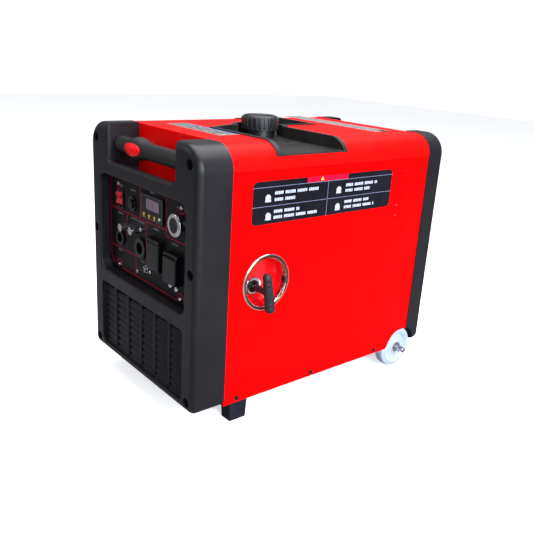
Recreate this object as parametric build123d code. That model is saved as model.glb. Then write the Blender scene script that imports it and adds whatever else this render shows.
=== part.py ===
"""Portable inverter generator in a closed case, with trolley handle and wheels.

Millimetres. +Z is up, the control panel faces -Y and the pull starter faces +X.
The origin is on the floor, under the middle of the case.
"""
import math
import os

from build123d import *

os.makedirs("parts", exist_ok=True)

# ---------------------------------------------------------------- case
body_width = 363.0          # across X
body_length = 597.0         # along Y, over both end frames
body_height = 450.0         # without feet and wheels
wheel_radius = 44.0
axle_drop = 6.0             # underside of the case down to the axle's line
ground_gap = wheel_radius + axle_drop
front_depth = 65.0          # front end frame, along Y
rear_depth = 47.0           # rear end frame, along Y
top_radius = 42.0           # upper corners of the case, seen from the front
bottom_radius = 15.0        # lower corners
frame_edge = 12.0           # rounding of the end frames' outer edges
frame_wall = 4.0            # moulded plastic
sheet = 1.5                 # steel panels
seam_drop = 43.0            # top of the case down to the top cover's lower edge
seam_gap = 0.8
fit_gap = 0.3               # between curved faces of different pieces
cover_step = 1.2            # the top cover sits this far inside the end frames
panel_step = 2.0            # and the side panels this far

bottom_z = ground_gap
top_z = bottom_z + body_height
front_y = -body_length / 2
rear_y = body_length / 2
front_back = front_y + front_depth
rear_front = rear_y - rear_depth
side_x = body_width / 2
cover_x = side_x - cover_step
skin_x = side_x - panel_step
skin_top = top_z - cover_step
seam_z = top_z - seam_drop

# ---------------------------------------------------------------- front frame openings
pocket_half = 114.0         # handle pocket between the ears
lip_drop = 68.0             # top of the case down to the pocket's front lip
lip_depth = 15.0
lip_round = 7.0
pocket_corner = 9.0         # rounding of the pocket's lower corners
ear_flare = 7.0
mouth_round = 3.5
pocket_drop = 89.0          # top of the case down to the pocket's floor
recess_half = side_x - 33.5     # control panel recess
recess_top_drop = 93.0
recess_height = 187.0
recess_depth = 20.0
recess_radius = 18.0
grille_half = side_x - 35.5
grille_low = 15.0           # underside of the case up to the grille opening
grille_height = 130.0
grille_thick = 5.0
grille_margin = 2.4         # how far the grille laps behind the frame
lip_z = top_z - lip_drop
pocket_z = top_z - pocket_drop
recess_top = top_z - recess_top_drop
recess_bottom = recess_top - recess_height
panel_y = front_y + recess_depth
panel_thick = 3.0
panel_lap = 3.0             # control panel behind the recess walls

vent_half = 132.0           # rear vent opening
vent_low = 75.0
vent_height = 250.0
outlet_x = -70.0            # exhaust outlet
outlet_z = bottom_z + 255.0
outlet_radius = 24.0
rear_pocket_rise = 30.0     # the rear pocket is this much shallower

# ---------------------------------------------------------------- frame screws
screw_top = (side_x - 23.5, 30.0)   # X, distance below the top of the case
screw_mid = (side_x - 16.5, 203.0)
screw_low = (side_x - 20.5, 431.0)
pocket_radius = 8.5
pocket_length = 14.0
boss_wall = 2.5
screw_head_radius = 5.5
screw_head_height = 4.0
screw_shank_radius = 2.5
screw_reach = 12.0

# ---------------------------------------------------------------- wheels and feet
wheel_width = 27.0
wheel_gap = 0.5             # between a wheel and the side panel
wheel_face_x = skin_x - sheet - wheel_gap   # outer face of a wheel
wheel_y = rear_y - 67.5
wheel_dish = 6.0
arch_radius = wheel_radius + 6.0
axle_radius = 5.5
axle_fit = 0.08
axle_end = 20.0             # axle beyond the wheel's face
hub_radius = 13.0
hub_drop = 2.0              # hub face inside the wheel's face
side_arch_radius = wheel_radius - 2.0   # side panel's edge over the wheel
side_arch_shift = 4.0
side_arch_round = 10.0      # corner between that edge and the panel's lower edge
bracket_x = 100.0
bracket_size = (20.0, 24.0, 14.0)
washer_radius = 11.0
washer_thick = 1.6
pin_radius = 1.5
foot_size = (31.0, 40.0)
foot_x = side_x - 35.0
foot_y = front_y + 113.5
foot_taper = 3.0

# ---------------------------------------------------------------- trolley handle
grip_radius = 14.5
grip_y = front_y + 26.0
grip_drop = 37.0            # top of the case down to the grip's axis
grip_end_gap = 1.5          # between the grip and the ears
hump_x = -40.0
hump_length = 78.0
hump_radius = 20.5
release_length = 52.0
release_height = 22.0
release_travel = 3.0
rod_x = 96.0
rod_radius = 8.0
rod_fit = 0.1
guide_wall = 2.0
handle_travel = 300.0
rod_stay = 29.0             # rod left in its guide at full travel
grip_z = top_z - grip_drop
guide_inner = rod_radius + rod_fit
guide_outer = guide_inner + guide_wall

# ---------------------------------------------------------------- recoil starter
recoil_y = front_y + 143.5
recoil_z = bottom_z + 215.0
bezel_radius = 50.5
bezel_width = 7.5
bezel_proud = 4.0
cup_depth = 27.0
guide_y = recoil_y - 5.0
guide_z = bottom_z + 200.0
flange_radius = 17.0
flange_thick = 3.0
rope_radius = 2.2
rope_fit = 0.1
bush_radius = 11.0
bush_length = 12.0
grip_axis_x = side_x + 14.0     # T-grip's own axis
t_grip_length = 74.0
t_grip_radius = 8.4
neck_radius = 7.0
rope_tail_x = 4.5           # end of the straight rope, at the pulley
t_grip_tilt = 10.0
t_grip_taper = 0.9          # radius change from the middle to each end
cup_floor_radius = 36.0
cup_wall = 1.5
pulley_radius = 58.0
groove_radius = 50.0
groove_width = 6.0
pulley_width = 12.0
pulley_post_radius = 8.0

# ---------------------------------------------------------------- fuel filler and tray
cap_x = -25.0
cap_y = -20.0
cap_radius = 36.5
cap_bottom_drop = 8.0       # top of the case down to the cap's skirt
cap_height = 28.5
cap_rib_count = 30
neck_outer = 30.0
neck_wall = 3.0
tray_floor_drop = 20.0
tray_wall = 2.5
tray_rim = 7.0
tray_right = (-38.0, side_x, -136.0, 13.0)
tray_left = (-side_x, -24.0, 21.0, 118.0)
tray_corner = 22.0
tray_ring = cap_radius + 11.5   # round well about the filler
tray_floor = top_z - tray_floor_drop
cap_bottom = top_z - cap_bottom_drop

# ---------------------------------------------------------------- side panel details
louvre_count = 6
louvre_pitch = 20.8
louvre_y = rear_y - 118.5
louvre_low = 272.0          # above the underside of the case
louvre_size = (25.0, 6.5)
louvre_deep = 3.4
louvre_slit = 2.0

# ---------------------------------------------------------------- control panel fittings
rocker_at = (-104.0, 313.0)     # X, height above the underside of the case
rocker_size = (25.0, 31.0)
breaker_at = (-57.0, 313.0)
breaker_radius = 11.0
meter_at = (15.0, 319.5)
meter_size = (76.0, 45.0)
meter_proud = 3.0
screen_size = (44.0, 19.0)
start_at = (100.0, 311.0)
start_radius = 20.0
start_face_radius = 12.5
start_proud = 11.0
posts_at = ((-77.0, 265.5), (-39.0, 268.0))
post_cap_radius = 7.2
post_cap_length = 11.0
post_flange = 4.5           # flange under a cap, out of the panel
post_cap_wall = 1.5
post_stud_radius = 2.5
small_post_at = (-18.0, 275.0)
remote_at = (-101.0, 239.0)
remote_radius = 14.0
dc_at = (-26.0, 237.5)
dc_radius = 19.0
outlet_at = (29.0, 241.0)
outlet_size = (42.0, 58.0)
box_at = (90.0, 234.0)
box_size = (42.0, 54.0)
ground_at = (-6.0, 203.5)
ground_radius = 3.0
ground_length = 19.0
rocker_tilt = 6.0
screen_at = (18.0, 325.0)
meter_back = (70.0, 39.0)
meter_button_at = (43.0, 306.5)
meter_button_radius = 2.6
panel_screw_at = ((-108.0, 341.0), (108.0, 341.0), (-108.0, 184.0), (108.0, 184.0))
small_screw_at = ((8.0, 202.0),)
bolt_at = ((80.0, 200.5), (99.0, 199.0))
bolt_head = 5.0
bolt_height = 4.5
small_head = 3.4
small_shank = 1.5
outlet_proud = 3.0
outlet_cover_deep = 6.0
box_base_proud = 4.0
box_cover_deep = 9.0
socket_back_radius = 18.5
socket_face_radius = 17.5
hinge_drop = 4.0            # from the base's top edge down to the hinge pin
hinge_out = 3.6
hinge_pin_radius = 1.3
hinge_fit = 0.08
cover_gap = 0.4
round_fittings = ((breaker_at, breaker_radius), (start_at, start_face_radius + 3),
                  (posts_at[0], post_stud_radius), (posts_at[1], post_stud_radius),
                  (small_post_at, post_stud_radius), (remote_at, remote_radius - 3), (dc_at, dc_radius - 3),
                  ((outlet_at[0], outlet_at[1] - 2), socket_back_radius),
                  ((box_at[0], box_at[1] - 2), socket_back_radius), (ground_at, ground_radius))

# ---------------------------------------------------------------- inside
crank_z = guide_z - rope_radius - groove_radius
pan_thick = 2.0
pan_flange = 14.0
well_gap = 3.0
side_screw_y = (-205.0, -28.0, 152.0)
side_screw_rise = 8.0
side_screw_head = 4.2
side_screw_shank = 1.8
block_front = guide_y + 82.0    # front face of the engine
block_bottom = bottom_z + 55.0
head_z = block_bottom + 228.0
flywheel_front = guide_y + 20.0
flywheel_radius = 88.0
stator_radius = 62.0
housing_radius = 97.0
tank_half = 150.0
tank_y = (-70.0, 128.0)
tank_top = bottom_z + 400.0
tank_bottom = bottom_z + 322.0
tank_wall = 2.5
neck_rise = 20.0            # neck above the cap's lower edge
cap_fit = 0.4
cap_wall = 3.0
insert_gap = 0.3
rim_proud = 0.8             # rim outside the case's outline
rim_tail = 3.0
guide_length = 385.0
rod_start = grip_y - 4.0
rod_length = handle_travel + rod_stay + front_back - rod_start
release_back = grip_y - 11.0
release_proud = 1.2
cup_lip = 1.0
collar_length = 4.0
pin_x = wheel_face_x + 7.0
neck_start = skin_x - cup_depth + 6.0
rope_stay = 1.0             # rope's tail behind the guide at full pull
pull_travel = skin_x - cup_depth - bush_length - rope_stay - rope_tail_x
bearing_radius = 12.0
shaft_fit = 0.08


def box(x0, x1, y0, y1, z0, z1):
    """Block between two corners."""
    centre = ((x0 + x1) / 2, (y0 + y1) / 2, (z0 + z1) / 2)
    return Pos(*centre) * Box(x1 - x0, y1 - y0, z1 - z0)


def rod_x_axis(radius, x0, x1, y, z):
    """Round bar along X."""
    return Pos((x0 + x1) / 2, y, z) * Rot(0, 90, 0) * Cylinder(radius, x1 - x0)


def rod_y_axis(radius, y0, y1, x, z):
    """Round bar along Y."""
    return Pos(x, (y0 + y1) / 2, z) * Rot(90, 0, 0) * Cylinder(radius, y1 - y0)


def rod_z_axis(radius, z0, z1, x, y):
    """Round bar along Z."""
    return Pos(x, y, (z0 + z1) / 2) * Cylinder(radius, z1 - z0)


def along_y(sketch, y0, y1):
    """Extrude a sketch of X and Z from y0 to y1."""
    return extrude(Plane.XZ.offset(-y1) * sketch, amount=y1 - y0)


def case_section(inset):
    """Section of the case across Y, drawn in all round by inset."""
    outline = Rectangle(body_width - 2 * inset, body_height - 2 * inset)
    rows = outline.vertices().group_by(Axis.Y)
    outline = fillet(rows[-1], top_radius - inset)
    rows = outline.vertices().group_by(Axis.Y)
    outline = fillet(rows[0], bottom_radius - inset)
    return Pos(0, bottom_z + body_height / 2) * outline


def rounded_slab(size, radius, x, z, y0, y1):
    """Plate facing Y with round corners."""
    return along_y(Pos(x, z) * RectangleRounded(size[0], size[1], radius), y0, y1)


def save(name, *solids):
    """Write one node, as its separate solids."""
    flat = [piece for shape in solids for piece in shape.solids()]
    export_step(flat[0] if len(flat) == 1 else Compound(children=flat), f"parts/{name}.step")


def frame_screw_places():
    """X and Z of the six screws in each end frame."""
    for x, drop in (screw_top, screw_mid, screw_low):
        for side in (-1, 1):
            yield side * x, top_z - drop


def screw_boss(x, z, face_y, inward):
    """Tube behind a frame's face that the screw sits in, and the hole to cut in it."""
    deep = face_y + inward * (pocket_length + boss_wall)
    start = face_y + inward * frame_wall / 2
    boss = rod_y_axis(pocket_radius + boss_wall, min(start, deep), max(start, deep), x, z)
    bore_end = face_y + inward * pocket_length
    bore = rod_y_axis(pocket_radius, min(face_y - inward, bore_end), max(face_y - inward, bore_end), x, z)
    shank = rod_y_axis(screw_shank_radius + fit_gap, min(face_y, deep + inward), max(face_y, deep + inward), x, z)
    return boss, bore + shank


def end_frame(face_y, inner_y, inward):
    """Hollow moulding at one end: a rounded cap with a face and side walls."""
    y0, y1 = min(face_y, inner_y), max(face_y, inner_y)
    outer = along_y(case_section(0), y0, y1)
    rim = outer.edges().filter_by_position(Axis.Y, face_y - 0.01, face_y + 0.01)
    outer = fillet(rim, frame_edge)
    face_inner = face_y + inward * frame_wall
    c0, c1 = min(face_inner, inner_y + inward), max(face_inner, inner_y + inward)
    hollow = along_y(case_section(frame_wall), c0, c1)
    rim = hollow.edges().filter_by_position(Axis.Y, face_inner - 0.01, face_inner + 0.01)
    return outer, fillet(rim, frame_edge - frame_wall)


def pocket_cut():
    """Space cut for the trolley handle, with a rounded front lip, round lower corners and flared ears."""
    r = lip_round
    back = front_y + lip_depth
    before = front_y - 4 * r
    high = top_z + 1
    side = make_face(
        Line((front_y, lip_z - 3 * r), (front_y, lip_z - r))
        + RadiusArc((front_y, lip_z - r), (front_y + r, lip_z), r)
        + Line((front_y + r, lip_z), (back - r, lip_z))
        + RadiusArc((back - r, lip_z), (back, lip_z - r), r)
        + Polyline((back, lip_z - r), (back, pocket_z), (front_back + 1, pocket_z),
                   (front_back + 1, high), (before, high), (before, lip_z - 3 * r), (front_y, lip_z - 3 * r)))
    cut = extrude(Plane.YZ.offset(-pocket_half) * side, amount=2 * pocket_half)
    lower = cut.edges().filter_by(lambda e: abs(abs(e.center().X) - pocket_half) < 0.01
                                  and e.center().Z < lip_z + 0.1 and front_y - 0.1 < e.center().Y < front_back)
    cut = fillet(lower, pocket_corner)
    tall = 2 * (high - lip_z)
    flare = rounded_slab((2 * (pocket_half + ear_flare), tall), pocket_corner + ear_flare, 0, lip_z + tall / 2,
                         front_y - 1, front_y + ear_flare)
    for side_sign in (-1, 1):
        flare -= rod_z_axis(ear_flare, lip_z - 1, high + 1, side_sign * (pocket_half + ear_flare), front_y + ear_flare)
    return cut + flare


def make_front_frame():
    outer, hollow = end_frame(front_y, front_back, 1)
    pocket_liner = box(-pocket_half - frame_wall, pocket_half + frame_wall,
                       front_y, front_back, pocket_z - frame_wall, top_z)
    recess_size = (2 * recess_half, recess_height)
    recess_mid = (recess_top + recess_bottom) / 2
    recess = rounded_slab(recess_size, recess_radius, 0, recess_mid, front_y - 1, panel_y + 1)
    liner_size = (recess_size[0] + 2 * frame_wall, recess_size[1] + 2 * frame_wall)
    recess_liner = rounded_slab(liner_size, recess_radius + frame_wall, 0, recess_mid, front_y, panel_y)
    grille_mid = bottom_z + grille_low + grille_height / 2
    opening = rounded_slab((2 * grille_half, grille_height), 10, 0, grille_mid, front_y - 1, front_y + frame_wall + 1)
    frame = outer - (hollow - pocket_liner - recess_liner) - recess - opening
    mouth = frame.edges().filter_by_position(Axis.Y, front_y - 0.01, front_y + 0.01)
    mouth = mouth.filter_by(lambda e: recess_bottom - 1 < e.center().Z < recess_top + 1
                            and abs(e.center().X) < recess_half + 1)
    frame = fillet(mouth, mouth_round) - pocket_cut()
    for x, z in frame_screw_places():
        boss, hole = screw_boss(x, z, front_y, 1)
        frame = frame + (boss & outer) - hole
    return frame


def make_rear_frame():
    outer, hollow = end_frame(rear_y, rear_front, -1)
    pocket = box(-pocket_half, pocket_half, rear_front - 1, rear_y + 1, pocket_z + rear_pocket_rise, top_z + 1)
    liner = box(-pocket_half - frame_wall, pocket_half + frame_wall, rear_front, rear_y,
                pocket_z + rear_pocket_rise - frame_wall, top_z)
    frame = outer - (hollow - liner) - pocket
    for side in (-1, 1):
        arch = rod_x_axis(arch_radius, side_x - wheel_width - 12, side_x + 1, wheel_y, wheel_radius)
        arch_liner = rod_x_axis(arch_radius + 3, side_x - wheel_width - 15, side_x, wheel_y, wheel_radius)
        if side < 0:
            arch, arch_liner = mirror(arch, about=Plane.YZ), mirror(arch_liner, about=Plane.YZ)
        frame = frame + (arch_liner & outer) - arch
    vent_mid = bottom_z + vent_low + vent_height / 2
    opening = rounded_slab((2 * vent_half, vent_height), 10, 0, vent_mid, rear_y - frame_wall - 1, rear_y + 1)
    frame = frame - opening
    for x, z in frame_screw_places():
        if z < wheel_radius + arch_radius + pocket_radius:
            continue
        boss, hole = screw_boss(x, z, rear_y, -1)
        frame = frame + (boss & outer) - hole
    return frame


def louvred_plate(half, low, height, y0, y1, columns, rows, face, slot_fill):
    """Plate with a field of horizontal slots."""
    mid = bottom_z + low + height / 2
    plate = rounded_slab((2 * (half + grille_margin), height + 2 * grille_margin), 12, 0, mid, y0, y1)
    cell_w = 2 * half / columns
    cell_h = height / rows
    slots = Sketch()
    for column in range(columns):
        for row in range(rows):
            x = -half + (column + 0.5) * cell_w
            z = mid - height / 2 + (row + 0.5) * cell_h
            slots += Pos(x, z) * Rectangle(cell_w * face, cell_h * slot_fill)
    return plate - along_y(slots, y0 - 1, y1 + 1)


def make_front_grille():
    y0 = front_y + frame_wall
    return louvred_plate(grille_half, grille_low, grille_height, y0, y0 + grille_thick, 6, 9, 0.86, 0.42)


def make_rear_grille():
    y1 = rear_y - frame_wall
    plate = louvred_plate(vent_half, vent_low, vent_height, y1 - grille_thick, y1, 6, 14, 0.86, 0.42)
    ring = rod_y_axis(outlet_radius + 9, y1 - grille_thick, y1, outlet_x, outlet_z)
    hole = rod_y_axis(outlet_radius + 3, y1 - grille_thick - 1, y1 + 1, outlet_x, outlet_z)
    return plate + ring - hole


def cover_section(inset):
    """Section of the top cover: flat top, round shoulders, short skirts."""
    high = skin_top - inset
    wide = 2 * (cover_x - inset)
    radius = top_radius - cover_step - inset
    tall = high - seam_z
    outline = Pos(0, seam_z + tall / 2) * Rectangle(wide, tall)
    return fillet(outline.vertices().group_by(Axis.Y)[-1], min(radius, tall - 1))


def tray_outline(grow):
    """Plan of the spill tray: two offset runs joined by a round well at the filler."""
    x0, x1, y0, y1 = tray_right
    right = make_face(Polyline(
        (x0 - grow, y0 + 55 - grow), (x0 + tray_corner - grow * 0.4, y0 - grow), (x1 + grow, y0 - grow),
        (x1 + grow, y1 + grow), (x0 - grow, y1 + grow), (x0 - grow, y0 + 55 - grow)))
    x0, x1, y0, y1 = tray_left
    left = Pos((x0 + x1) / 2, (y0 + y1) / 2) * Rectangle(x1 - x0 + 2 * grow, y1 - y0 + 2 * grow)
    well = Pos(cap_x, cap_y) * Circle(tray_ring + grow)
    return right + left + well


def tray_block(grow, low, high):
    """Upright prism over the tray's plan."""
    return extrude(Plane.XY.offset(low) * tray_outline(grow), amount=high - low)


def case_slice(inset, y0, y1):
    """Solid of the case's section between two places along Y."""
    return along_y(case_section(inset), y0, y1)


def make_top_cover():
    y0, y1 = front_back, rear_front
    outer = along_y(cover_section(0), y0, y1)
    outer = outer + box(-pocket_half, pocket_half, y0, y0 + 30, pocket_z, skin_top - 1)
    outer = outer + box(-pocket_half, pocket_half, y1 - 30, y1, pocket_z + rear_pocket_rise, skin_top - 1)
    inner = along_y(cover_section(sheet), y0 - 1, y1 + 1)
    inside = pocket_half - sheet
    high = skin_top - 2 - sheet
    inner = inner + box(-inside, inside, y0 + sheet, y0 + 31, pocket_z - 1, high)
    inner = inner + box(-inside, inside, y1 - 31, y1 - sheet, pocket_z + rear_pocket_rise - 1, high)
    wall_front = box(-pocket_half, pocket_half, y0, y0 + sheet, pocket_z, skin_top)
    wall_rear = box(-pocket_half, pocket_half, y1 - sheet, y1, pocket_z + rear_pocket_rise, skin_top)
    cover = outer - inner + wall_front + wall_rear
    cover = cover - tray_block(0, tray_floor - tray_wall - fit_gap, top_z + 5)
    for x in (-rod_x, rod_x):
        cover = cover - rod_y_axis(guide_outer + fit_gap, y0 - 1, y0 + sheet + 1, x, grip_z)
    return cover


def panel_hole_places():
    """Y and Z of the side panels' lower screws."""
    return [(y, bottom_z + side_screw_rise) for y in side_screw_y]


def louvre_dent(z, deep):
    """Dent that is deepest along its top edge and flush at its foot, with slanted ends."""
    half_y, half_z = louvre_size[0] / 2, louvre_size[1] / 2
    face = skin_x + 1
    wedge = Polyline((face, z + half_z), (face, z - half_z), (skin_x, z - half_z), (skin_x - deep, z + half_z),
                     (face, z + half_z))
    dent = extrude(Plane.XZ.offset(-louvre_y - half_y) * make_face(wedge), amount=2 * half_y)
    plan = Polyline((face, louvre_y - half_y), (face, louvre_y + half_y), (skin_x, louvre_y + half_y),
                    (skin_x - deep, louvre_y + half_y - deep), (skin_x - deep, louvre_y - half_y + deep),
                    (skin_x, louvre_y - half_y), (face, louvre_y - half_y))
    return dent & extrude(Plane.XY.offset(z - half_z - 1) * make_face(plan), amount=2 * half_z + 2)


def make_side_panel():
    """Right side panel; the left one is its mirror image without the starter hole."""
    panel = box(skin_x - sheet, skin_x, front_back, rear_front, bottom_z, seam_z - seam_gap)
    panel -= rod_x_axis(side_arch_radius, skin_x - sheet - 1, skin_x + 1, wheel_y + side_arch_shift, wheel_radius)
    panel -= box(skin_x - sheet - 1, skin_x + 1, wheel_y + side_arch_shift, rear_front + 1,
                 bottom_z - 1, wheel_radius + side_arch_radius)
    corner = panel.edges().filter_by(Axis.X).filter_by_position(Axis.Z, bottom_z - 0.1, bottom_z + 0.1).sort_by(Axis.Y)[-1]
    panel = fillet(corner, side_arch_round)
    half_y, half_z = louvre_size[0] / 2, louvre_size[1] / 2
    for row in range(louvre_count):
        z = bottom_z + louvre_low + row * louvre_pitch
        backing = box(skin_x - louvre_deep - sheet, skin_x - 0.1, louvre_y - half_y - sheet, louvre_y + half_y + sheet,
                      z - half_z - sheet, z + half_z + sheet)
        slit = box(skin_x - louvre_deep - sheet - 1, skin_x - sheet, louvre_y - half_y + louvre_deep,
                   louvre_y + half_y - louvre_deep, z + half_z - louvre_slit, z + half_z - 0.2)
        panel = panel + backing - louvre_dent(z, louvre_deep) - slit
    for y, z in panel_hole_places():
        panel -= rod_x_axis(side_screw_shank + fit_gap, skin_x - sheet - 1, skin_x + 1, y, z)
    return panel


def make_right_panel():
    hole = rod_x_axis(bezel_radius - bezel_width + 1.8, skin_x - sheet - 1, skin_x + 1, recoil_y, recoil_z)
    return make_side_panel() - hole


def make_left_panel():
    return mirror(make_side_panel(), about=Plane.YZ)


def make_base_pan():
    """Floor pan with upturned sides and a round-topped well over each wheel."""
    x1 = skin_x - sheet
    y0, y1 = front_back, rear_front
    pan = box(-x1, x1, y0, y1, bottom_z, bottom_z + pan_flange)
    pan -= box(-x1 + pan_thick, x1 - pan_thick, y0 + pan_thick, y1 - pan_thick, bottom_z + pan_thick, bottom_z + 99)
    well_in = wheel_face_x - wheel_width - well_gap
    for side in (-1, 1):
        xa, xb = sorted((side * well_in, side * (x1 + 1)))
        cut = rod_x_axis(arch_radius, xa, xb, wheel_y, wheel_radius)
        wa, wb = sorted((side * (well_in - pan_thick), side * (x1 - well_gap)))
        well = rod_x_axis(arch_radius + pan_thick, wa, wb, wheel_y, wheel_radius)
        well = well & box(wa, wb, wheel_y - 2 * arch_radius, y1, bottom_z, bottom_z + 2 * arch_radius)
        pan = pan + well - cut
        for y, z in panel_hole_places():
            pan -= rod_x_axis(side_screw_shank + fit_gap, side * x1 - 4, side * x1 + 4, y, z)
    return pan


def make_spill_tray():
    """Black tray that catches spilt fuel, with a thin rim lapping over the cover."""
    basin = tray_block(-fit_gap, tray_floor - tray_wall, top_z + 5)
    basin -= tray_block(-fit_gap - tray_wall, tray_floor, top_z + 6)
    basin = basin & case_slice(-rim_proud, front_back, rear_front)
    rim = tray_block(tray_rim, tray_floor - rim_tail, top_z + 5)
    rim -= tray_block(-fit_gap - tray_wall, tray_floor - rim_tail - 1, top_z + 6)
    lap = case_slice(-rim_proud, front_back, rear_front) - case_slice(cover_step - 0.1, front_back - 1, rear_front + 1)
    tray = basin + (rim & lap)
    tray -= rod_z_axis(neck_outer + fit_gap, tray_floor - 2 * tray_wall, tray_floor + 1, cap_x, cap_y)
    return tray


def make_filler_neck():
    top = cap_bottom + neck_rise
    neck = rod_z_axis(neck_outer, tank_top, top, cap_x, cap_y)
    return neck - rod_z_axis(neck_outer - neck_wall, tank_top - 1, top + 1, cap_x, cap_y)


def make_fuel_cap():
    top = cap_bottom + cap_height
    cap = rod_z_axis(cap_radius, cap_bottom, top, cap_x, cap_y)
    crown = cap.edges().filter_by(GeomType.CIRCLE).sort_by(Axis.Z)[-1]
    cap = fillet(crown, 3)
    cap -= rod_z_axis(neck_outer + cap_fit, cap_bottom - 1, top - cap_wall, cap_x, cap_y)
    for step in range(cap_rib_count):
        turn = 2 * math.pi * step / cap_rib_count
        x = cap_x + (cap_radius + 0.6) * math.cos(turn)
        y = cap_y + (cap_radius + 0.6) * math.sin(turn)
        cap -= rod_z_axis(1.9, cap_bottom - 1, top - 5, x, y)
    return cap


def make_cap_insert():
    """Bayonet plug inside the neck that the cap turns on."""
    top = cap_bottom + cap_height - cap_wall
    plug = rod_z_axis(neck_outer - neck_wall - 0.5, cap_bottom - 6, top - insert_gap - 6, cap_x, cap_y)
    stem = rod_z_axis(7, cap_bottom - 6, top - insert_gap, cap_x, cap_y)
    return plug + stem


def make_fuel_tank():
    tank = box(-tank_half, tank_half, tank_y[0], tank_y[1], tank_bottom, tank_top)
    tank = fillet(tank.edges().filter_by(Axis.Z), 18)
    wall = tank_wall
    inner = box(-tank_half + wall, tank_half - wall, tank_y[0] + wall, tank_y[1] - wall, tank_bottom + wall, tank_top - wall)
    inner = fillet(inner.edges().filter_by(Axis.Z), 18 - wall)
    return tank - inner - rod_z_axis(neck_outer - neck_wall, tank_top - wall - 1, tank_top + 1, cap_x, cap_y)


def make_wheel(side):
    """Solid moulded wheel: tread, raised rim ring, dished web and hub."""
    half = wheel_width / 2
    face = half
    hub_face = half - hub_drop
    dish = half - wheel_dish
    bore = axle_radius + axle_fit
    profile = Polyline(
        (-hub_face, bore), (hub_face, bore), (hub_face, hub_radius), (dish, hub_radius + 1.5),
        (dish, wheel_radius - 12), (face - 1, wheel_radius - 10), (face, wheel_radius - 9),
        (face, wheel_radius - 6), (face - 1.5, wheel_radius - 4.5), (face - 1.5, wheel_radius - 1.5),
        (face - 3, wheel_radius), (3 - face, wheel_radius), (1.5 - face, wheel_radius - 1.5),
        (1.5 - face, wheel_radius - 9), (-dish, wheel_radius - 12), (-dish, hub_radius + 1.5),
        (-hub_face, hub_radius), (-hub_face, bore))
    wheel = revolve(make_face(profile), Axis.X)
    place = Pos(side * (wheel_face_x - half), wheel_y, wheel_radius)
    return place * (wheel if side > 0 else Rot(0, 0, 180) * wheel)


def make_wheel_axle():
    reach = wheel_face_x + axle_end
    axle = rod_x_axis(axle_radius, -reach, reach, wheel_y, wheel_radius)
    axle = chamfer(axle.edges().filter_by(GeomType.CIRCLE), 1.2)
    for side in (-1, 1):
        axle -= rod_z_axis(pin_radius + 0.1, wheel_radius - 9, wheel_radius + 9, side * pin_x, wheel_y)
    return axle


def make_wheel_fasteners():
    """Washers and split pins at the ends of the axle, and the collars inside the wheels."""
    pieces = []
    hub_x = wheel_face_x - hub_drop
    inner_x = wheel_face_x - wheel_width + hub_drop
    for side in (-1, 1):
        for start, thick, radius in ((hub_x + 0.2, washer_thick, washer_radius),
                                     (inner_x - 0.2 - collar_length, collar_length, axle_radius + 4)):
            a, b = sorted((side * start, side * (start + thick)))
            ring = rod_x_axis(radius, a, b, wheel_y, wheel_radius)
            pieces.append(ring - rod_x_axis(axle_radius + 0.05, a - 1, b + 1, wheel_y, wheel_radius))
        pieces.append(rod_z_axis(pin_radius, wheel_radius - 9, wheel_radius + 10, side * pin_x, wheel_y))
    return pieces


def make_axle_brackets():
    w, d, h = bracket_size
    block = box(-w / 2, w / 2, wheel_y - d / 2, wheel_y + d / 2, bottom_z - h, bottom_z)
    block -= rod_x_axis(axle_radius + 0.05, -w, w, wheel_y, wheel_radius)
    return [Pos(side * bracket_x, 0, 0) * block for side in (-1, 1)]


def make_front_feet():
    lower = Rectangle(foot_size[0] - foot_taper, foot_size[1] - foot_taper)
    upper = Rectangle(foot_size[0], foot_size[1])
    foot = loft([Plane.XY * lower.face(), Plane.XY.offset(ground_gap) * upper.face()])
    foot = fillet(foot.edges().filter_by(lambda e: e.length > ground_gap - 1), 4)
    return [Pos(side * foot_x, foot_y, 0) * foot for side in (-1, 1)]


def grip_outline(grow):
    """Half section of the grip along X, as a face to turn about its axis."""
    end = pocket_half - grip_end_gap
    r = grip_radius + grow
    top = hump_radius + grow
    a, b = hump_x - hump_length / 2, hump_x + hump_length / 2
    profile = (
        Line((-end, 0), (-end, r - 3)) + RadiusArc((-end, r - 3), (3 - end, r), 3)
        + Line((3 - end, r), (a, r))
        + Spline((a, r), (hump_x, top), (b, r), tangents=((1, 0), (1, 0)))
        + Line((b, r), (end - 3, r)) + RadiusArc((end - 3, r), (end, r - 3), 3)
        + Line((end, r - 3), (end, 0)) + Line((end, 0), (-end, 0)))
    return make_face(profile)


def grip_body(grow):
    return Pos(0, grip_y, grip_z) * revolve(grip_outline(grow), Axis.X)


def release_prism(grow, y0, y1):
    """Oval prism through the front of the grip."""
    oval = Ellipse(release_length / 2 + grow, release_height / 2 + grow)
    return along_y(Pos(hump_x, grip_z) * oval, y0, y1)


def make_handle_grip():
    grip = grip_body(0)
    grip -= release_prism(fit_gap, grip_y - hump_radius - 5, release_back + release_travel + fit_gap)
    for x in (-rod_x, rod_x):
        grip -= rod_y_axis(rod_radius + 0.05, rod_start, grip_y + 40, x, grip_z)
    return grip


def make_release_button():
    front = grip_y - hump_radius - 5
    return release_prism(0, front, release_back) & grip_body(release_proud)


def make_handle_rods():
    return [rod_y_axis(rod_radius, rod_start, rod_start + rod_length, x, grip_z) for x in (-rod_x, rod_x)]


def make_handle_guides():
    y0 = front_back
    tubes = []
    for x in (-rod_x, rod_x):
        tube = rod_y_axis(guide_outer, y0, y0 + guide_length, x, grip_z)
        tubes.append(tube - rod_y_axis(guide_inner, y0 - 1, y0 + guide_length + 1, x, grip_z))
    return tubes


def turned_about_x(points, y, z):
    """Ring turned from (radius, X) points about a line along X."""
    outline = [(x, r) for r, x in points]
    return Pos(0, y, z) * revolve(make_face(Polyline(*outline, outline[0])), Axis.X)


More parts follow.
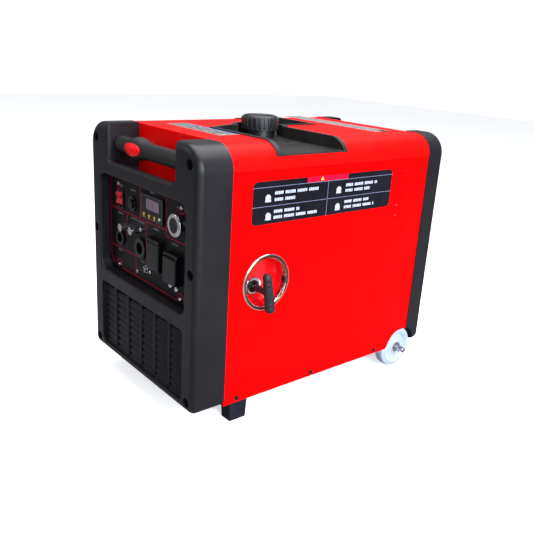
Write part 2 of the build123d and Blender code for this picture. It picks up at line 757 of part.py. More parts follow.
def make_recoil_bezel():
    x0 = skin_x + cup_lip
    r1, r0 = bezel_radius, bezel_radius - bezel_width
    ring = turned_about_x([(r0, x0), (r1, x0), (r1, x0 + 1), (r1 - 1.6, x0 + bezel_proud - 0.8),
                           (r1 - 3.2, x0 + bezel_proud), (r0 + 2, x0 + bezel_proud - 1), (r0, x0 + 1.4)],
                          recoil_y, recoil_z)
    return ring


def make_recoil_cup():
    x0 = skin_x
    mouth = bezel_radius - bezel_width + 1.5
    floor_x = x0 - cup_depth
    w = cup_wall
    cup = turned_about_x([(bezel_radius - 0.5, x0), (bezel_radius - 0.5, x0 + cup_lip), (mouth - w, x0 + cup_lip),
                          (cup_floor_radius + 6 - w, floor_x + 8), (cup_floor_radius - w, floor_x),
                          (0, floor_x), (0, floor_x - w), (cup_floor_radius, floor_x - w),
                          (cup_floor_radius + 6, floor_x + 7), (mouth, x0)], recoil_y, recoil_z)
    return cup - rod_x_axis(bush_radius + fit_gap, floor_x - 5, floor_x + 5, guide_y, guide_z)


def make_rope_guide():
    floor_x = skin_x - cup_depth
    guide = rod_x_axis(flange_radius, floor_x, floor_x + flange_thick, guide_y, guide_z)
    guide = fillet(guide.edges().filter_by(GeomType.CIRCLE).sort_by(Axis.X)[-1], 1.5)
    guide += rod_x_axis(bush_radius, floor_x - bush_length, floor_x + flange_thick + 2, guide_y, guide_z)
    return guide - rod_x_axis(rope_radius + rope_fit, floor_x - 30, floor_x + 30, guide_y, guide_z)


def make_recoil_grip():
    """T-shaped grip with a short neck, tilted about the rope."""
    low_r, high_r = t_grip_radius + t_grip_taper, t_grip_radius - t_grip_taper
    bar = Cone(low_r, high_r, t_grip_length)
    ends = bar.edges().filter_by(GeomType.CIRCLE)
    bar = fillet(ends, 4)
    bar = Pos(grip_axis_x, guide_y, guide_z) * Rot(t_grip_tilt, 0, 0) * bar
    neck = rod_x_axis(neck_radius, neck_start, grip_axis_x, guide_y, guide_z)
    return bar + neck


def make_starter_rope():
    return rod_x_axis(rope_radius, rope_tail_x, neck_start, guide_y, guide_z)


def make_recoil_pulley():
    y = guide_y
    half = pulley_width / 2
    pulley = rod_y_axis(pulley_radius, y - half, y + half, 0, crank_z)
    groove = rod_y_axis(pulley_radius + 1, y - groove_width / 2, y + groove_width / 2, 0, crank_z)
    groove -= rod_y_axis(groove_radius - fit_gap, y - half, y + half, 0, crank_z)
    pulley = pulley - groove - rod_y_axis(pulley_post_radius + shaft_fit, y - half - 1, y + half + 1, 0, crank_z)
    for step in range(6):
        turn = math.radians(60 * step)
        x, z = 28 * math.cos(turn), crank_z + 28 * math.sin(turn)
        pulley -= rod_y_axis(9, y - half - 1, y + half + 1, x, z)
    return pulley


def make_recoil_housing():
    """Pot over the flywheel that carries the pulley on its middle post."""
    y0 = guide_y - pulley_width / 2 - 8
    pot = rod_y_axis(housing_radius, y0, block_front, 0, crank_z)
    pot -= rod_y_axis(housing_radius - 3, y0 + 3, block_front + 1, 0, crank_z)
    pot += rod_y_axis(pulley_post_radius, y0, guide_y + pulley_width / 2 + 2, 0, crank_z)
    pot -= box(40, housing_radius + 1, guide_y - 6, guide_y + 6, guide_z - 6, guide_z + 6)
    for step in range(10):
        turn = math.radians(36 * step + 18)
        x, z = 76 * math.cos(turn), crank_z + 76 * math.sin(turn)
        pot -= rod_y_axis(13, y0 - 1, y0 + 4, x, z)
    return pot


def make_crankshaft():
    shaft = rod_y_axis(bearing_radius, flywheel_front - 6, block_front + 120, 0, crank_z)
    return shaft


def make_flywheel():
    """Outer rotor of the alternator, with the fan's blades on its front."""
    y = flywheel_front
    wheel = rod_y_axis(flywheel_radius, y, block_front - 6, 0, crank_z)
    wheel -= rod_y_axis(stator_radius + 4, y + 12, block_front, 0, crank_z)
    wheel -= rod_y_axis(bearing_radius + 0.02, y - 1, y + 13, 0, crank_z)
    blade = box(-1, 1, y - 10, y + 1, crank_z + 38, crank_z + flywheel_radius - 3)
    for step in range(12):
        turned = Pos(0, 0, crank_z) * Rot(0, 30 * step, 0) * Pos(0, 0, -crank_z) * blade
        wheel += turned
    return wheel


def make_stator():
    y0 = flywheel_front + 18
    ring = rod_y_axis(stator_radius, y0, block_front, 0, crank_z)
    ring -= rod_y_axis(bearing_radius + 6, y0 - 1, block_front + 1, 0, crank_z)
    for step in range(12):
        turn = math.radians(30 * step)
        x, z = (stator_radius - 8) * math.cos(turn), crank_z + (stator_radius - 8) * math.sin(turn)
        ring -= rod_y_axis(5, y0 - 1, block_front - 6, x, z)
    return ring


def make_engine_block():
    case = box(-70, 70, block_front, block_front + 170, block_bottom, block_bottom + 165)
    case = fillet(case.edges().filter_by(Axis.Y), 14)
    barrel = box(-48, 48, block_front + 45, block_front + 145, block_bottom + 160, head_z)
    for level in range(6):
        z = block_bottom + 170 + level * 10
        barrel += box(-58, 58, block_front + 36, block_front + 154, z, z + 3)
    bore = rod_y_axis(bearing_radius + shaft_fit, block_front - 1, block_front + 121, 0, crank_z)
    return case + barrel - bore


def make_cylinder_head():
    head = box(-50, 50, block_front + 40, block_front + 150, head_z, head_z + 30)
    return fillet(head.edges().filter_by(Axis.Z), 10)


def make_engine_mounts():
    return [rod_z_axis(14, bottom_z + pan_thick, block_bottom, x, y)
            for x in (-50, 50) for y in (block_front + 25, block_front + 145)]


def make_muffler():
    y0 = block_front + 208
    can = box(-150, 40, y0, y0 + 75, outlet_z - 60, head_z + 28)
    can = fillet(can.edges().filter_by(Axis.Y), 22)
    elbow = rod_y_axis(12, block_front + 150, y0 + 1, -20, head_z + 14)
    pipe = rod_y_axis(outlet_radius - 6, y0 + 74, rear_y - 5, outlet_x, outlet_z)
    pipe = pipe - rod_y_axis(outlet_radius - 9, y0 + 100, rear_y, outlet_x, outlet_z)
    return can + elbow + pipe


def make_carburettor():
    body = box(48, 84, block_front + 70, block_front + 120, head_z - 46, head_z - 6)
    fin_cut = box(40, 58.3, block_front + 30, block_front + 160, head_z - 60, head_z)
    return body - fin_cut


def make_air_cleaner():
    case = box(84, 150, block_front + 45, block_front + 145, head_z - 62, head_z + 18)
    return fillet(case.edges().filter_by(Axis.X), 10)


def make_inverter_module():
    x0, x1, y0, y1 = -130, 50, front_back + 4, front_back + 44
    module = box(x0, x1, y0 + 14, y1, bottom_z + pan_thick, bottom_z + 128)
    for fin in range(13):
        x = x0 + 4 + fin * 14
        module += box(x, x + 3, y0, y0 + 15, bottom_z + pan_thick, bottom_z + 128)
    return module


def make_battery():
    case = box(66, 150, front_back + 4, front_back + 48, bottom_z + pan_thick, bottom_z + 92)
    posts = [rod_z_axis(5, bottom_z + 91, bottom_z + 98, x, front_back + 26) for x in (80, 136)]
    return case + posts[0] + posts[1]


def fitting_z(place):
    """X and Z of a fitting on the control panel."""
    return place[0], bottom_z + place[1]


def make_control_panel():
    low, high = recess_bottom - panel_lap, recess_top - fit_gap
    size = (2 * (recess_half + panel_lap), high - low)
    panel = rounded_slab(size, recess_radius, 0, (low + high) / 2, panel_y, panel_y + panel_thick)
    y0, y1 = panel_y - 1, panel_y + panel_thick + 1
    for place, span in ((rocker_at, rocker_size), (meter_at, meter_back)):
        x, z = fitting_z(place)
        panel -= rounded_slab((span[0] + 2 * fit_gap, span[1] + 2 * fit_gap), 1, x, z, y0, y1)
    for place, radius in round_fittings:
        x, z = fitting_z(place)
        panel -= rod_y_axis(radius + fit_gap, y0, y1, x, z)
    for place in panel_screw_at + small_screw_at + bolt_at:
        x, z = fitting_z(place)
        panel -= rod_y_axis(small_shank + fit_gap, y0, y1, x, z)
    return panel


def screw_y(face_y, x, z, head_radius, head_height, shank_radius, reach):
    """Screw whose head stands on a face towards -Y."""
    head = rod_y_axis(head_radius, face_y - head_height, face_y, x, z)
    head = fillet(head.edges().filter_by(GeomType.CIRCLE).sort_by(Axis.Y)[0], head_height * 0.4)
    return head + rod_y_axis(shank_radius, face_y - 0.5, face_y + reach, x, z)


def make_frame_screws():
    screws = []
    for x, z in frame_screw_places():
        seat = front_y + pocket_length
        screws.append(screw_y(seat, x, z, screw_head_radius, screw_head_height, screw_shank_radius, screw_reach))
        if z > wheel_radius + arch_radius + pocket_radius:
            screw = screw_y(0, x, z, screw_head_radius, screw_head_height, screw_shank_radius, screw_reach)
            screws.append(Pos(0, rear_y - pocket_length, 0) * mirror(screw, about=Plane.XZ))
    return screws


def make_side_screws():
    screws = []
    for side in (-1, 1):
        for y, z in panel_hole_places():
            a, b = sorted((side * skin_x, side * (skin_x + 2)))
            c, d = sorted((side * (skin_x - 8), side * (skin_x + 0.5)))
            screws.append(rod_x_axis(side_screw_head, a, b, y, z) + rod_x_axis(side_screw_shank, c, d, y, z))
    return screws


def make_panel_screws():
    screws = [screw_y(panel_y, *fitting_z(place), small_head, 2.2, small_shank, 6)
              for place in panel_screw_at + small_screw_at]
    bolts = [screw_y(panel_y, *fitting_z(place), bolt_head, bolt_height, small_shank, 6) for place in bolt_at]
    return screws + bolts


def make_switch_bezels():
    """Housings of the rocker switch and of the circuit breaker."""
    x, z = fitting_z(rocker_at)
    w, h = rocker_size
    rocker = rounded_slab((w + 3, h + 3), 2, x, z, panel_y - 2, panel_y)
    rocker += rounded_slab((w, h), 1, x, z, panel_y - 0.5, panel_y + 18)
    rocker -= rounded_slab((w - 3, h - 3), 1, x, z, panel_y - 3, panel_y + 12)
    x, z = fitting_z(breaker_at)
    breaker = rod_y_axis(breaker_radius + 3, panel_y - 2.5, panel_y, x, z)
    breaker += rod_y_axis(breaker_radius, panel_y - 0.5, panel_y + 20, x, z)
    breaker -= rod_y_axis(breaker_radius - 2.4, panel_y - 3, panel_y + 8, x, z)
    return [rocker, breaker]


def make_rocker_switch():
    """Paddle that rocks about a line along X; drawn pressed in at its lower end."""
    x, z = fitting_z(rocker_at)
    w, h = rocker_size[0] - 4, rocker_size[1] - 6
    upper = Polyline((-2, -h / 2), (3, -h / 2), (6, 0), (3, h / 2), (-2, h / 2), (-5.5, h / 3), (-2.5, 0), (-5.5, -h / 3),
                     (-2, -h / 2))
    paddle = extrude(Plane.YZ.offset(-w / 2) * make_face(upper), amount=w)
    return Pos(x, panel_y + 1.5, z) * Rot(rocker_tilt, 0, 0) * paddle


def make_breaker_button():
    x, z = fitting_z(breaker_at)
    return rod_y_axis(breaker_radius - 2.8, panel_y - 6, panel_y + 5, x, z)


def make_meter_case():
    x, z = fitting_z(meter_at)
    case = rounded_slab(meter_size, 3, x, z, panel_y - meter_proud, panel_y)
    case += rounded_slab(meter_back, 1, x, z, panel_y - 0.5, panel_y + 18)
    sx, sz = fitting_z(screen_at)
    case -= rounded_slab(screen_size, 1, sx, sz, panel_y - meter_proud - 1, panel_y - meter_proud + 1.4)
    bx, bz = fitting_z(meter_button_at)
    return case - rod_y_axis(meter_button_radius + fit_gap, panel_y - meter_proud - 1, panel_y + 3, bx, bz)


def make_meter_screen():
    sx, sz = fitting_z(screen_at)
    size = (screen_size[0] - 0.4, screen_size[1] - 0.4)
    return rounded_slab(size, 0.8, sx, sz, panel_y - meter_proud + 0.4, panel_y - meter_proud + 1.4)


def make_meter_button():
    x, z = fitting_z(meter_button_at)
    return rod_y_axis(meter_button_radius, panel_y - meter_proud - 1.2, panel_y + 1.5, x, z)


def make_start_ring():
    x, z = fitting_z(start_at)
    ring = rod_y_axis(start_radius, panel_y - start_proud, panel_y, x, z)
    ring = fillet(ring.edges().filter_by(GeomType.CIRCLE).sort_by(Axis.Y)[0], 2.5)
    ring += rod_y_axis(start_face_radius + 3, panel_y - 1, panel_y + 22, x, z)
    return ring - rod_y_axis(start_face_radius + fit_gap, panel_y - start_proud - 1, panel_y + 14, x, z)


def make_start_button():
    x, z = fitting_z(start_at)
    return rod_y_axis(start_face_radius, panel_y - start_proud + 0.8, panel_y + 8, x, z)


def make_terminal_posts():
    """Studs with flanges for the two binding posts, and the small post beside them."""
    pieces = []
    for place in posts_at:
        x, z = fitting_z(place)
        post = rod_y_axis(post_cap_radius - 1, panel_y - post_flange, panel_y, x, z)
        tip = panel_y - post_flange - post_cap_length + post_cap_wall
        pieces.append(post + rod_y_axis(post_stud_radius, tip, panel_y + 10, x, z))
    x, z = fitting_z(small_post_at)
    pieces.append(rod_y_axis(4, panel_y - 6, panel_y, x, z) + rod_y_axis(post_stud_radius, panel_y - 1, panel_y + 10, x, z))
    return pieces


def make_post_cap(place):
    """Knurled cap that screws along a binding post."""
    x, z = fitting_z(place)
    y0 = panel_y - post_flange - fit_gap - post_cap_length
    cap = rod_y_axis(post_cap_radius, y0, y0 + post_cap_length, x, z)
    cap -= rod_y_axis(post_stud_radius + shaft_fit, y0 + post_cap_wall, y0 + post_cap_length + 1, x, z)
    for step in range(12):
        turn = math.radians(30 * step)
        cx, cz = x + (post_cap_radius + 0.4) * math.cos(turn), z + (post_cap_radius + 0.4) * math.sin(turn)
        cap -= rod_y_axis(1.0, y0 + 2, y0 + post_cap_length + 1, cx, cz)
    return cap


def make_round_sockets():
    """Round plug sockets: the remote connector and the 12 volt outlet."""
    pieces = []
    for place, radius, bore, depth in ((remote_at, remote_radius, 9.5, 9), (dc_at, dc_radius, 10.5, 20)):
        x, z = fitting_z(place)
        socket = rod_y_axis(radius, panel_y - 4, panel_y, x, z)
        socket += rod_y_axis(radius - 3, panel_y - 1, panel_y + 24, x, z)
        pieces.append(socket - rod_y_axis(bore, panel_y - 5, panel_y - 4 + depth, x, z))
    return pieces


def socket_base(place, size, proud):
    x, z = fitting_z(place)
    w, h = size
    base = rounded_slab(size, 3, x, z, panel_y - proud, panel_y)
    base += rod_y_axis(socket_back_radius, panel_y - 1, panel_y + 24, x, z - 2)
    base -= rod_y_axis(socket_face_radius, panel_y - proud - 1, panel_y - proud + 9, x, z - 2)
    hinge_z = z + h / 2 - hinge_drop
    pin = rod_x_axis(hinge_pin_radius, x - w / 2 + 1, x + w / 2 - 1, panel_y - proud - hinge_out, hinge_z)
    for side in (-1, 1):
        x0, x1 = sorted((x + side * (w / 2 - 5), x + side * w / 2))
        ear = box(x0, x1, panel_y - proud - hinge_out - 3, panel_y - proud + 0.5, hinge_z - 3, hinge_z + 3)
        pin += ear
    return base + pin


def socket_cover(place, size, proud, deep):
    """Flap with a knuckle round the base's hinge pin."""
    x, z = fitting_z(place)
    w, h = size
    hinge_z = z + h / 2 - hinge_drop
    hinge_y = panel_y - proud - hinge_out
    back = panel_y - proud - cover_gap
    flap = box(x - w / 2 + 0.8, x + w / 2 - 0.8, back - deep, back, z - h / 2 + 0.5, hinge_z - 4.2)
    flap = fillet(flap.edges().filter_by(Axis.Y), 3)
    flap = fillet(flap.faces().sort_by(Axis.Y)[0].edges(), min(2.0, deep * 0.4))
    knuckle = rod_x_axis(3, x - w / 2 + 5.5, x + w / 2 - 5.5, hinge_y, hinge_z)
    arm = box(x - w / 2 + 5.5, x + w / 2 - 5.5, back - min(deep, 4), back, hinge_z - 5, hinge_z)
    cover = flap + arm + knuckle
    return cover - rod_x_axis(hinge_pin_radius + hinge_fit, x - w, x + w, hinge_y, hinge_z)


def make_ground_terminal():
    x, z = fitting_z(ground_at)
    nut = extrude(Plane.XZ.offset(-panel_y) * (Pos(x, z) * RegularPolygon(5.8, 6)), amount=5)
    nut += rod_y_axis(7, panel_y - 1.2, panel_y, x, z)
    return nut + rod_y_axis(ground_radius, panel_y - ground_length, panel_y + 10, x, z)


if __name__ == "__main__":
    save("base_pan", make_base_pan(), *make_axle_brackets())
    save("front_frame", make_front_frame())
    save("rear_frame", make_rear_frame())
    save("top_cover", make_top_cover())
    save("right_side_panel", make_right_panel())
    save("left_side_panel", make_left_panel())
    save("front_grille", make_front_grille())
    save("rear_grille", make_rear_grille())
    save("control_panel", make_control_panel())
    save("case_screws", *make_frame_screws(), *make_side_screws())
    save("panel_screws", *make_panel_screws())
    save("front_feet", *make_front_feet())
    save("wheel_axle", make_wheel_axle())
    save("wheel_fasteners", *make_wheel_fasteners())
    save("right_wheel", make_wheel(1))
    save("left_wheel", make_wheel(-1))
    save("handle_guides", *make_handle_guides())
    save("handle_rods", *make_handle_rods())
    save("handle_grip", make_handle_grip())
    save("release_button", make_release_button())
    save("spill_tray", make_spill_tray())
    save("filler_neck", make_filler_neck())
    save("fuel_cap", make_fuel_cap())
    save("cap_insert", make_cap_insert())
    save("fuel_tank", make_fuel_tank())
    save("recoil_bezel", make_recoil_bezel())
    save("recoil_cup", make_recoil_cup())
    save("rope_guide", make_rope_guide())
    save("recoil_grip", make_recoil_grip())
    save("starter_rope", make_starter_rope())
    save("recoil_pulley", make_recoil_pulley())
    save("recoil_housing", make_recoil_housing())
    save("crankshaft", make_crankshaft())
    save("flywheel_fan", make_flywheel())
    save("stator", make_stator())
    save("engine_block", make_engine_block())
    save("cylinder_head", make_cylinder_head())
    save("engine_mounts", *make_engine_mounts())
    save("muffler", make_muffler())
    save("carburettor", make_carburettor())
    save("air_cleaner", make_air_cleaner())
    save("inverter_module", make_inverter_module())
    save("battery", make_battery())
    save("switch_bezels", *make_switch_bezels())
    save("rocker_switch", make_rocker_switch())
    save("breaker_button", make_breaker_button())
    save("meter_case", make_meter_case())
    save("meter_screen", make_meter_screen())
    save("meter_button", make_meter_button())
    save("start_ring", make_start_ring())
    save("start_button", make_start_button())
    save("terminal_posts", *make_terminal_posts())
    save("left_post_cap", make_post_cap(posts_at[0]))
    save("right_post_cap", make_post_cap(posts_at[1]))
    save("round_sockets", *make_round_sockets())
    save("ac_outlet", socket_base(outlet_at, outlet_size, outlet_proud))
    save("ac_outlet_cover", socket_cover(outlet_at, outlet_size, outlet_proud, outlet_cover_deep))
    save("power_outlet", socket_base(box_at, box_size, box_base_proud))
    save("power_outlet_cover", socket_cover(box_at, box_size, box_base_proud, box_cover_deep))
    save("ground_terminal", make_ground_terminal())
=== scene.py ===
"""Looks for the portable generator: finishes for the case and its fittings, and the pieces shaped by hand."""
import math

import bmesh
import bpy
from mathutils import Matrix, Vector


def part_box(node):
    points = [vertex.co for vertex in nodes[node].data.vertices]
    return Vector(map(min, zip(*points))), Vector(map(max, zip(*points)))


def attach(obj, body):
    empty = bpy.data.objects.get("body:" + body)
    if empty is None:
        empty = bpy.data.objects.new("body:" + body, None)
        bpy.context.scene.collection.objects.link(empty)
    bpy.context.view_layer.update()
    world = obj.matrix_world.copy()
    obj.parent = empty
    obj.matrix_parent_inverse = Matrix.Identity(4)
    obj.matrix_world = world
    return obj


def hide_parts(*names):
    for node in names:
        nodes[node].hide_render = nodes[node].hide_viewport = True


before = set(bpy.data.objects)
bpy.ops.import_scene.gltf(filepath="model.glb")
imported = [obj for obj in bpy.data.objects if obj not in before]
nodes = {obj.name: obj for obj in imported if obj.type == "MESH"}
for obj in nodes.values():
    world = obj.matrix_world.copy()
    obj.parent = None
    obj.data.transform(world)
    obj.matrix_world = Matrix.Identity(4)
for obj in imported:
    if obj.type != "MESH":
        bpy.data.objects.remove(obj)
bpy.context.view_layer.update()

MM = 0.001
# Faces that print lies on, and the thickness of the print, in metres.
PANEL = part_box("control_panel")[0].y
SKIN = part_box("base_pan")[1].x + 1.5 * MM
TOP_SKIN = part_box("top_cover")[1].z
VINYL = 0.00025
INK = 0.00008
VINYL_FRONT = VINYL + 0.00004
PULL_CENTRE = (0.1955, -0.160, 0.250)
PULL_TILT = 10.0
WHEEL_CENTRE = (0.231, 0.044)


# ------------------------------------------------------------------ finishes
def new_group(name, inputs, outputs):
    group = bpy.data.node_groups.new(name, "ShaderNodeTree")
    for label, kind, value in inputs:
        socket = group.interface.new_socket(label, in_out="INPUT", socket_type=kind)
        socket.default_value = value
    for label, kind in outputs:
        group.interface.new_socket(label, in_out="OUTPUT", socket_type=kind)
    return group, group.nodes.new("NodeGroupInput"), group.nodes.new("NodeGroupOutput")


def make_grain():
    """Height of a moulded or powder-coated surface."""
    group, entry, leave = new_group("surface grain", [
        ("Size", "NodeSocketFloat", 900.0), ("Softness", "NodeSocketFloat", 0.5)],
        [("Height", "NodeSocketFloat")])
    place = group.nodes.new("ShaderNodeTexCoord")
    fine = group.nodes.new("ShaderNodeTexNoise")
    fine.inputs["Detail"].default_value = 3.0
    group.links.new(place.outputs["Object"], fine.inputs["Vector"])
    group.links.new(entry.outputs["Size"], fine.inputs["Scale"])
    group.links.new(entry.outputs["Softness"], fine.inputs["Roughness"])
    group.links.new(fine.outputs["Fac"], leave.inputs["Height"])
    return group


def make_tone():
    """Slow change of colour and sheen over a surface, with a little dust."""
    group, entry, leave = new_group("uneven tone", [
        ("Colour", "NodeSocketColor", (0.5, 0.5, 0.5, 1)), ("Dusty", "NodeSocketColor", (0.6, 0.6, 0.6, 1)),
        ("Amount", "NodeSocketFloat", 0.1), ("Size", "NodeSocketFloat", 9.0),
        ("Smooth", "NodeSocketFloat", 0.3), ("Rough", "NodeSocketFloat", 0.5)],
        [("Colour", "NodeSocketColor"), ("Roughness", "NodeSocketFloat")])
    place = group.nodes.new("ShaderNodeTexCoord")
    cloud = group.nodes.new("ShaderNodeTexNoise")
    cloud.inputs["Detail"].default_value = 6.0
    cloud.inputs["Roughness"].default_value = 0.62
    group.links.new(place.outputs["Object"], cloud.inputs["Vector"])
    group.links.new(entry.outputs["Size"], cloud.inputs["Scale"])
    spread = group.nodes.new("ShaderNodeMapRange")
    spread.inputs["From Min"].default_value = 0.35
    spread.inputs["From Max"].default_value = 0.7
    group.links.new(cloud.outputs["Fac"], spread.inputs["Value"])
    share = group.nodes.new("ShaderNodeMath")
    share.operation = "MULTIPLY"
    group.links.new(spread.outputs["Result"], share.inputs[0])
    group.links.new(entry.outputs["Amount"], share.inputs[1])
    blend = group.nodes.new("ShaderNodeMix")
    blend.data_type = "RGBA"
    group.links.new(share.outputs["Value"], blend.inputs["Factor"])
    group.links.new(entry.outputs["Colour"], blend.inputs[6])
    group.links.new(entry.outputs["Dusty"], blend.inputs[7])
    group.links.new(blend.outputs[2], leave.inputs["Colour"])
    sheen = group.nodes.new("ShaderNodeMix")
    group.links.new(spread.outputs["Result"], sheen.inputs["Factor"])
    group.links.new(entry.outputs["Smooth"], sheen.inputs[2])
    group.links.new(entry.outputs["Rough"], sheen.inputs[3])
    group.links.new(sheen.outputs[0], leave.inputs["Roughness"])
    return group


GRAIN = make_grain()
TONE = make_tone()
COAT_ROUGH = 0.1


def finish(name, colour, dusty=None, amount=0.12, tone_size=9.0, smooth=0.35, rough=0.5,
           grain_size=900.0, grain_depth=0.00006, metal=0.0, coat=0.0, specular=0.5):
    """One procedural finish: uneven tone, uneven sheen and a fine grain."""
    material = bpy.data.materials.new(name)
    material.use_nodes = True
    tree = material.node_tree
    shader = tree.nodes["Principled BSDF"]
    shader.inputs["Metallic"].default_value = metal
    shader.inputs["Coat Weight"].default_value = coat
    shader.inputs["Coat Roughness"].default_value = COAT_ROUGH
    shader.inputs["Specular IOR Level"].default_value = specular
    tone = tree.nodes.new("ShaderNodeGroup")
    tone.node_tree = TONE
    tone.inputs["Colour"].default_value = (*colour, 1)
    tone.inputs["Dusty"].default_value = (*(dusty or [min(1, c * 1.6 + 0.01) for c in colour]), 1)
    tone.inputs["Amount"].default_value = amount
    tone.inputs["Size"].default_value = tone_size
    tone.inputs["Smooth"].default_value = smooth
    tone.inputs["Rough"].default_value = rough
    tree.links.new(tone.outputs["Colour"], shader.inputs["Base Color"])
    tree.links.new(tone.outputs["Roughness"], shader.inputs["Roughness"])
    if grain_depth:
        grain = tree.nodes.new("ShaderNodeGroup")
        grain.node_tree = GRAIN
        grain.inputs["Size"].default_value = grain_size
        bump = tree.nodes.new("ShaderNodeBump")
        bump.inputs["Distance"].default_value = grain_depth
        bump.inputs["Strength"].default_value = 0.8
        tree.links.new(grain.outputs["Height"], bump.inputs["Height"])
        tree.links.new(bump.outputs["Normal"], shader.inputs["Normal"])
    return material


red_paint = finish("red powder coat", (0.90, 0.0006, 0.0010), dusty=(1.0, 0.0016, 0.0016), amount=0.5,
                   tone_size=5, smooth=0.26, rough=0.40, grain_size=1400, grain_depth=0.00003,
                   specular=0.02)
# Copy of the red paint for the top cover, a little more orange than the sides': painted haze of light on the
# lit top.
cover_red_painted_haze = finish("red powder coat, upper, painted light haze", (0.90, 0.0012, 0.0012), dusty=(1.0, 0.006, 0.004), amount=0.6,
                   tone_size=7, smooth=0.34, rough=0.5, grain_size=1400, grain_depth=0.00004, specular=0.05)
cup_red = finish("glossy red moulding", (0.80, 0.002, 0.004), dusty=(0.95, 0.01, 0.02), amount=0.6,
                 tone_size=26, smooth=0.10, rough=0.2, grain_depth=0, specular=0.4)
case_black = finish("moulded black plastic", (0.0050, 0.0046, 0.0064), dusty=(0.0125, 0.0115, 0.0150),
                    amount=0.45, smooth=0.34, rough=0.50, grain_size=1700, grain_depth=0.00008,
                    specular=0.3)
grille_black = finish("grille black plastic", (0.0040, 0.0035, 0.0048), dusty=(0.010, 0.009, 0.012),
                      amount=0.4, smooth=0.40, rough=0.52, grain_size=1700, grain_depth=0.00006,
                      specular=0.22)
tray_black = finish("tray black plastic", (0.0060, 0.0058, 0.0062), dusty=(0.024, 0.022, 0.020), amount=0.6,
                    tone_size=22, smooth=0.34, rough=0.55, grain_size=1500, grain_depth=0.00012,
                    specular=0.25)
cap_black = finish("cap black plastic", (0.0050, 0.0058, 0.0075), dusty=(0.016, 0.018, 0.022), smooth=0.30,
                   rough=0.46, grain_size=2000, grain_depth=0.00004, specular=0.45)
grip_black = finish("soft grip rubber", (0.0062, 0.0056, 0.0062), dusty=(0.018, 0.017, 0.020), smooth=0.42,
                    rough=0.58, grain_size=2400, grain_depth=0.00010, specular=0.35)
pull_black = finish("pull grip rubber", (0.0080, 0.0094, 0.0145), dusty=(0.020, 0.024, 0.034), smooth=0.36,
                    rough=0.5, grain_size=2400, grain_depth=0.00005, specular=0.45)
panel_black = finish("panel plastic", (0.0030, 0.0018, 0.0026), dusty=(0.0070, 0.0052, 0.0064), smooth=0.34,
                     rough=0.46, grain_size=2200, grain_depth=0.00005, specular=0.12)
gloss_black = finish("gloss black plastic", (0.0022, 0.0020, 0.0026), dusty=(0.007, 0.007, 0.009),
                     smooth=0.18, rough=0.32, grain_depth=0, specular=0.3)
foot_rubber = finish("foot rubber", (0.0085, 0.0095, 0.0165), dusty=(0.028, 0.030, 0.040), amount=0.4,
                     tone_size=30, smooth=0.55, rough=0.75, grain_size=1200, grain_depth=0.0002,
                     specular=0.2)
pan_black = finish("underside paint", (0.0060, 0.0064, 0.0090), dusty=(0.022, 0.021, 0.022), amount=0.3,
                   smooth=0.4, rough=0.6, grain_depth=0.00004, specular=0.15)
wheel_grey = finish("wheel plastic", (0.45, 0.53, 0.72), dusty=(0.56, 0.64, 0.82), amount=0.5, tone_size=25,
                    smooth=0.34, rough=0.5, grain_size=1500, grain_depth=0.00005, specular=0.3)
red_plastic = finish("red key plastic", (0.88, 0.002, 0.006), dusty=(1.0, 0.012, 0.012), smooth=0.2,
                     rough=0.32, grain_size=1500, grain_depth=0.00001, specular=0.15)
rocker_red = finish("lit red plastic", (0.62, 0.001, 0.008), dusty=(0.95, 0.07, 0.09), amount=0.6,
                    tone_size=120, smooth=0.12, rough=0.2, grain_depth=0, specular=0.3)
chrome = finish("chrome", (0.70, 0.70, 0.73), dusty=(0.30, 0.22, 0.18), amount=0.55, tone_size=46,
                smooth=0.05, rough=0.16, grain_depth=0, metal=1.0)
# Chrome tinted brown: the brown is a painted reflection of warm surroundings, used on the starter ring's
# band.
chrome_painted_brown_reflection = finish("chrome, painted brown reflection", (0.155, 0.070, 0.022), dusty=(0.30, 0.17, 0.075), amount=0.8,
                       tone_size=16, smooth=0.08, rough=0.22, grain_depth=0, metal=1.0)
zinc = finish("zinc plate", (0.52, 0.52, 0.54), dusty=(0.20, 0.18, 0.16), amount=0.5, tone_size=90,
              smooth=0.16, rough=0.34, grain_size=900, grain_depth=0.00002, metal=1.0)
dark_screw = finish("blackened steel", (0.030, 0.034, 0.045), dusty=(0.08, 0.085, 0.10), tone_size=80,
                    smooth=0.25, rough=0.45, grain_depth=0.00002, metal=0.9)
cast_metal = finish("cast aluminium", (0.30, 0.30, 0.31), dusty=(0.4, 0.4, 0.38), amount=0.4, tone_size=30,
                    smooth=0.4, rough=0.6, grain_size=700, grain_depth=0.0002, metal=0.9)
iron = finish("cast iron", (0.07, 0.07, 0.07), dusty=(0.12, 0.09, 0.06), amount=0.5, tone_size=40,
              smooth=0.5, rough=0.7, grain_size=600, grain_depth=0.0002, metal=0.8)
copper = finish("varnished windings", (0.45, 0.16, 0.05), dusty=(0.55, 0.25, 0.1), tone_size=90, smooth=0.3,
                rough=0.45, grain_size=500, grain_depth=0.0002, metal=0.7)
silencer = finish("heat-stained steel", (0.33, 0.30, 0.27), dusty=(0.25, 0.16, 0.09), amount=0.6,
                  tone_size=12, smooth=0.35, rough=0.55, grain_depth=0.00004, metal=1.0)
label_black = finish("label vinyl", (0.0030, 0.0030, 0.0052), dusty=(0.012, 0.012, 0.022), amount=0.6,
                     tone_size=14, smooth=0.24, rough=0.36, grain_size=500, grain_depth=0.00001,
                     specular=0.2)
label_white = finish("white print", (0.62, 0.65, 0.74), dusty=(0.16, 0.17, 0.24), amount=0.75,
                     tone_size=420, smooth=0.4, rough=0.5, grain_depth=0, specular=0.1)
label_line = finish("pale rule print", (0.20, 0.21, 0.34), smooth=0.4, rough=0.5, grain_depth=0,
                    specular=0.1)
label_red = finish("red print", (0.75, 0.002, 0.030), smooth=0.35, rough=0.45, grain_depth=0, specular=0.1)
label_yellow = finish("yellow print", (0.95, 0.78, 0.03), smooth=0.35, rough=0.45, grain_depth=0,
                      specular=0.1)
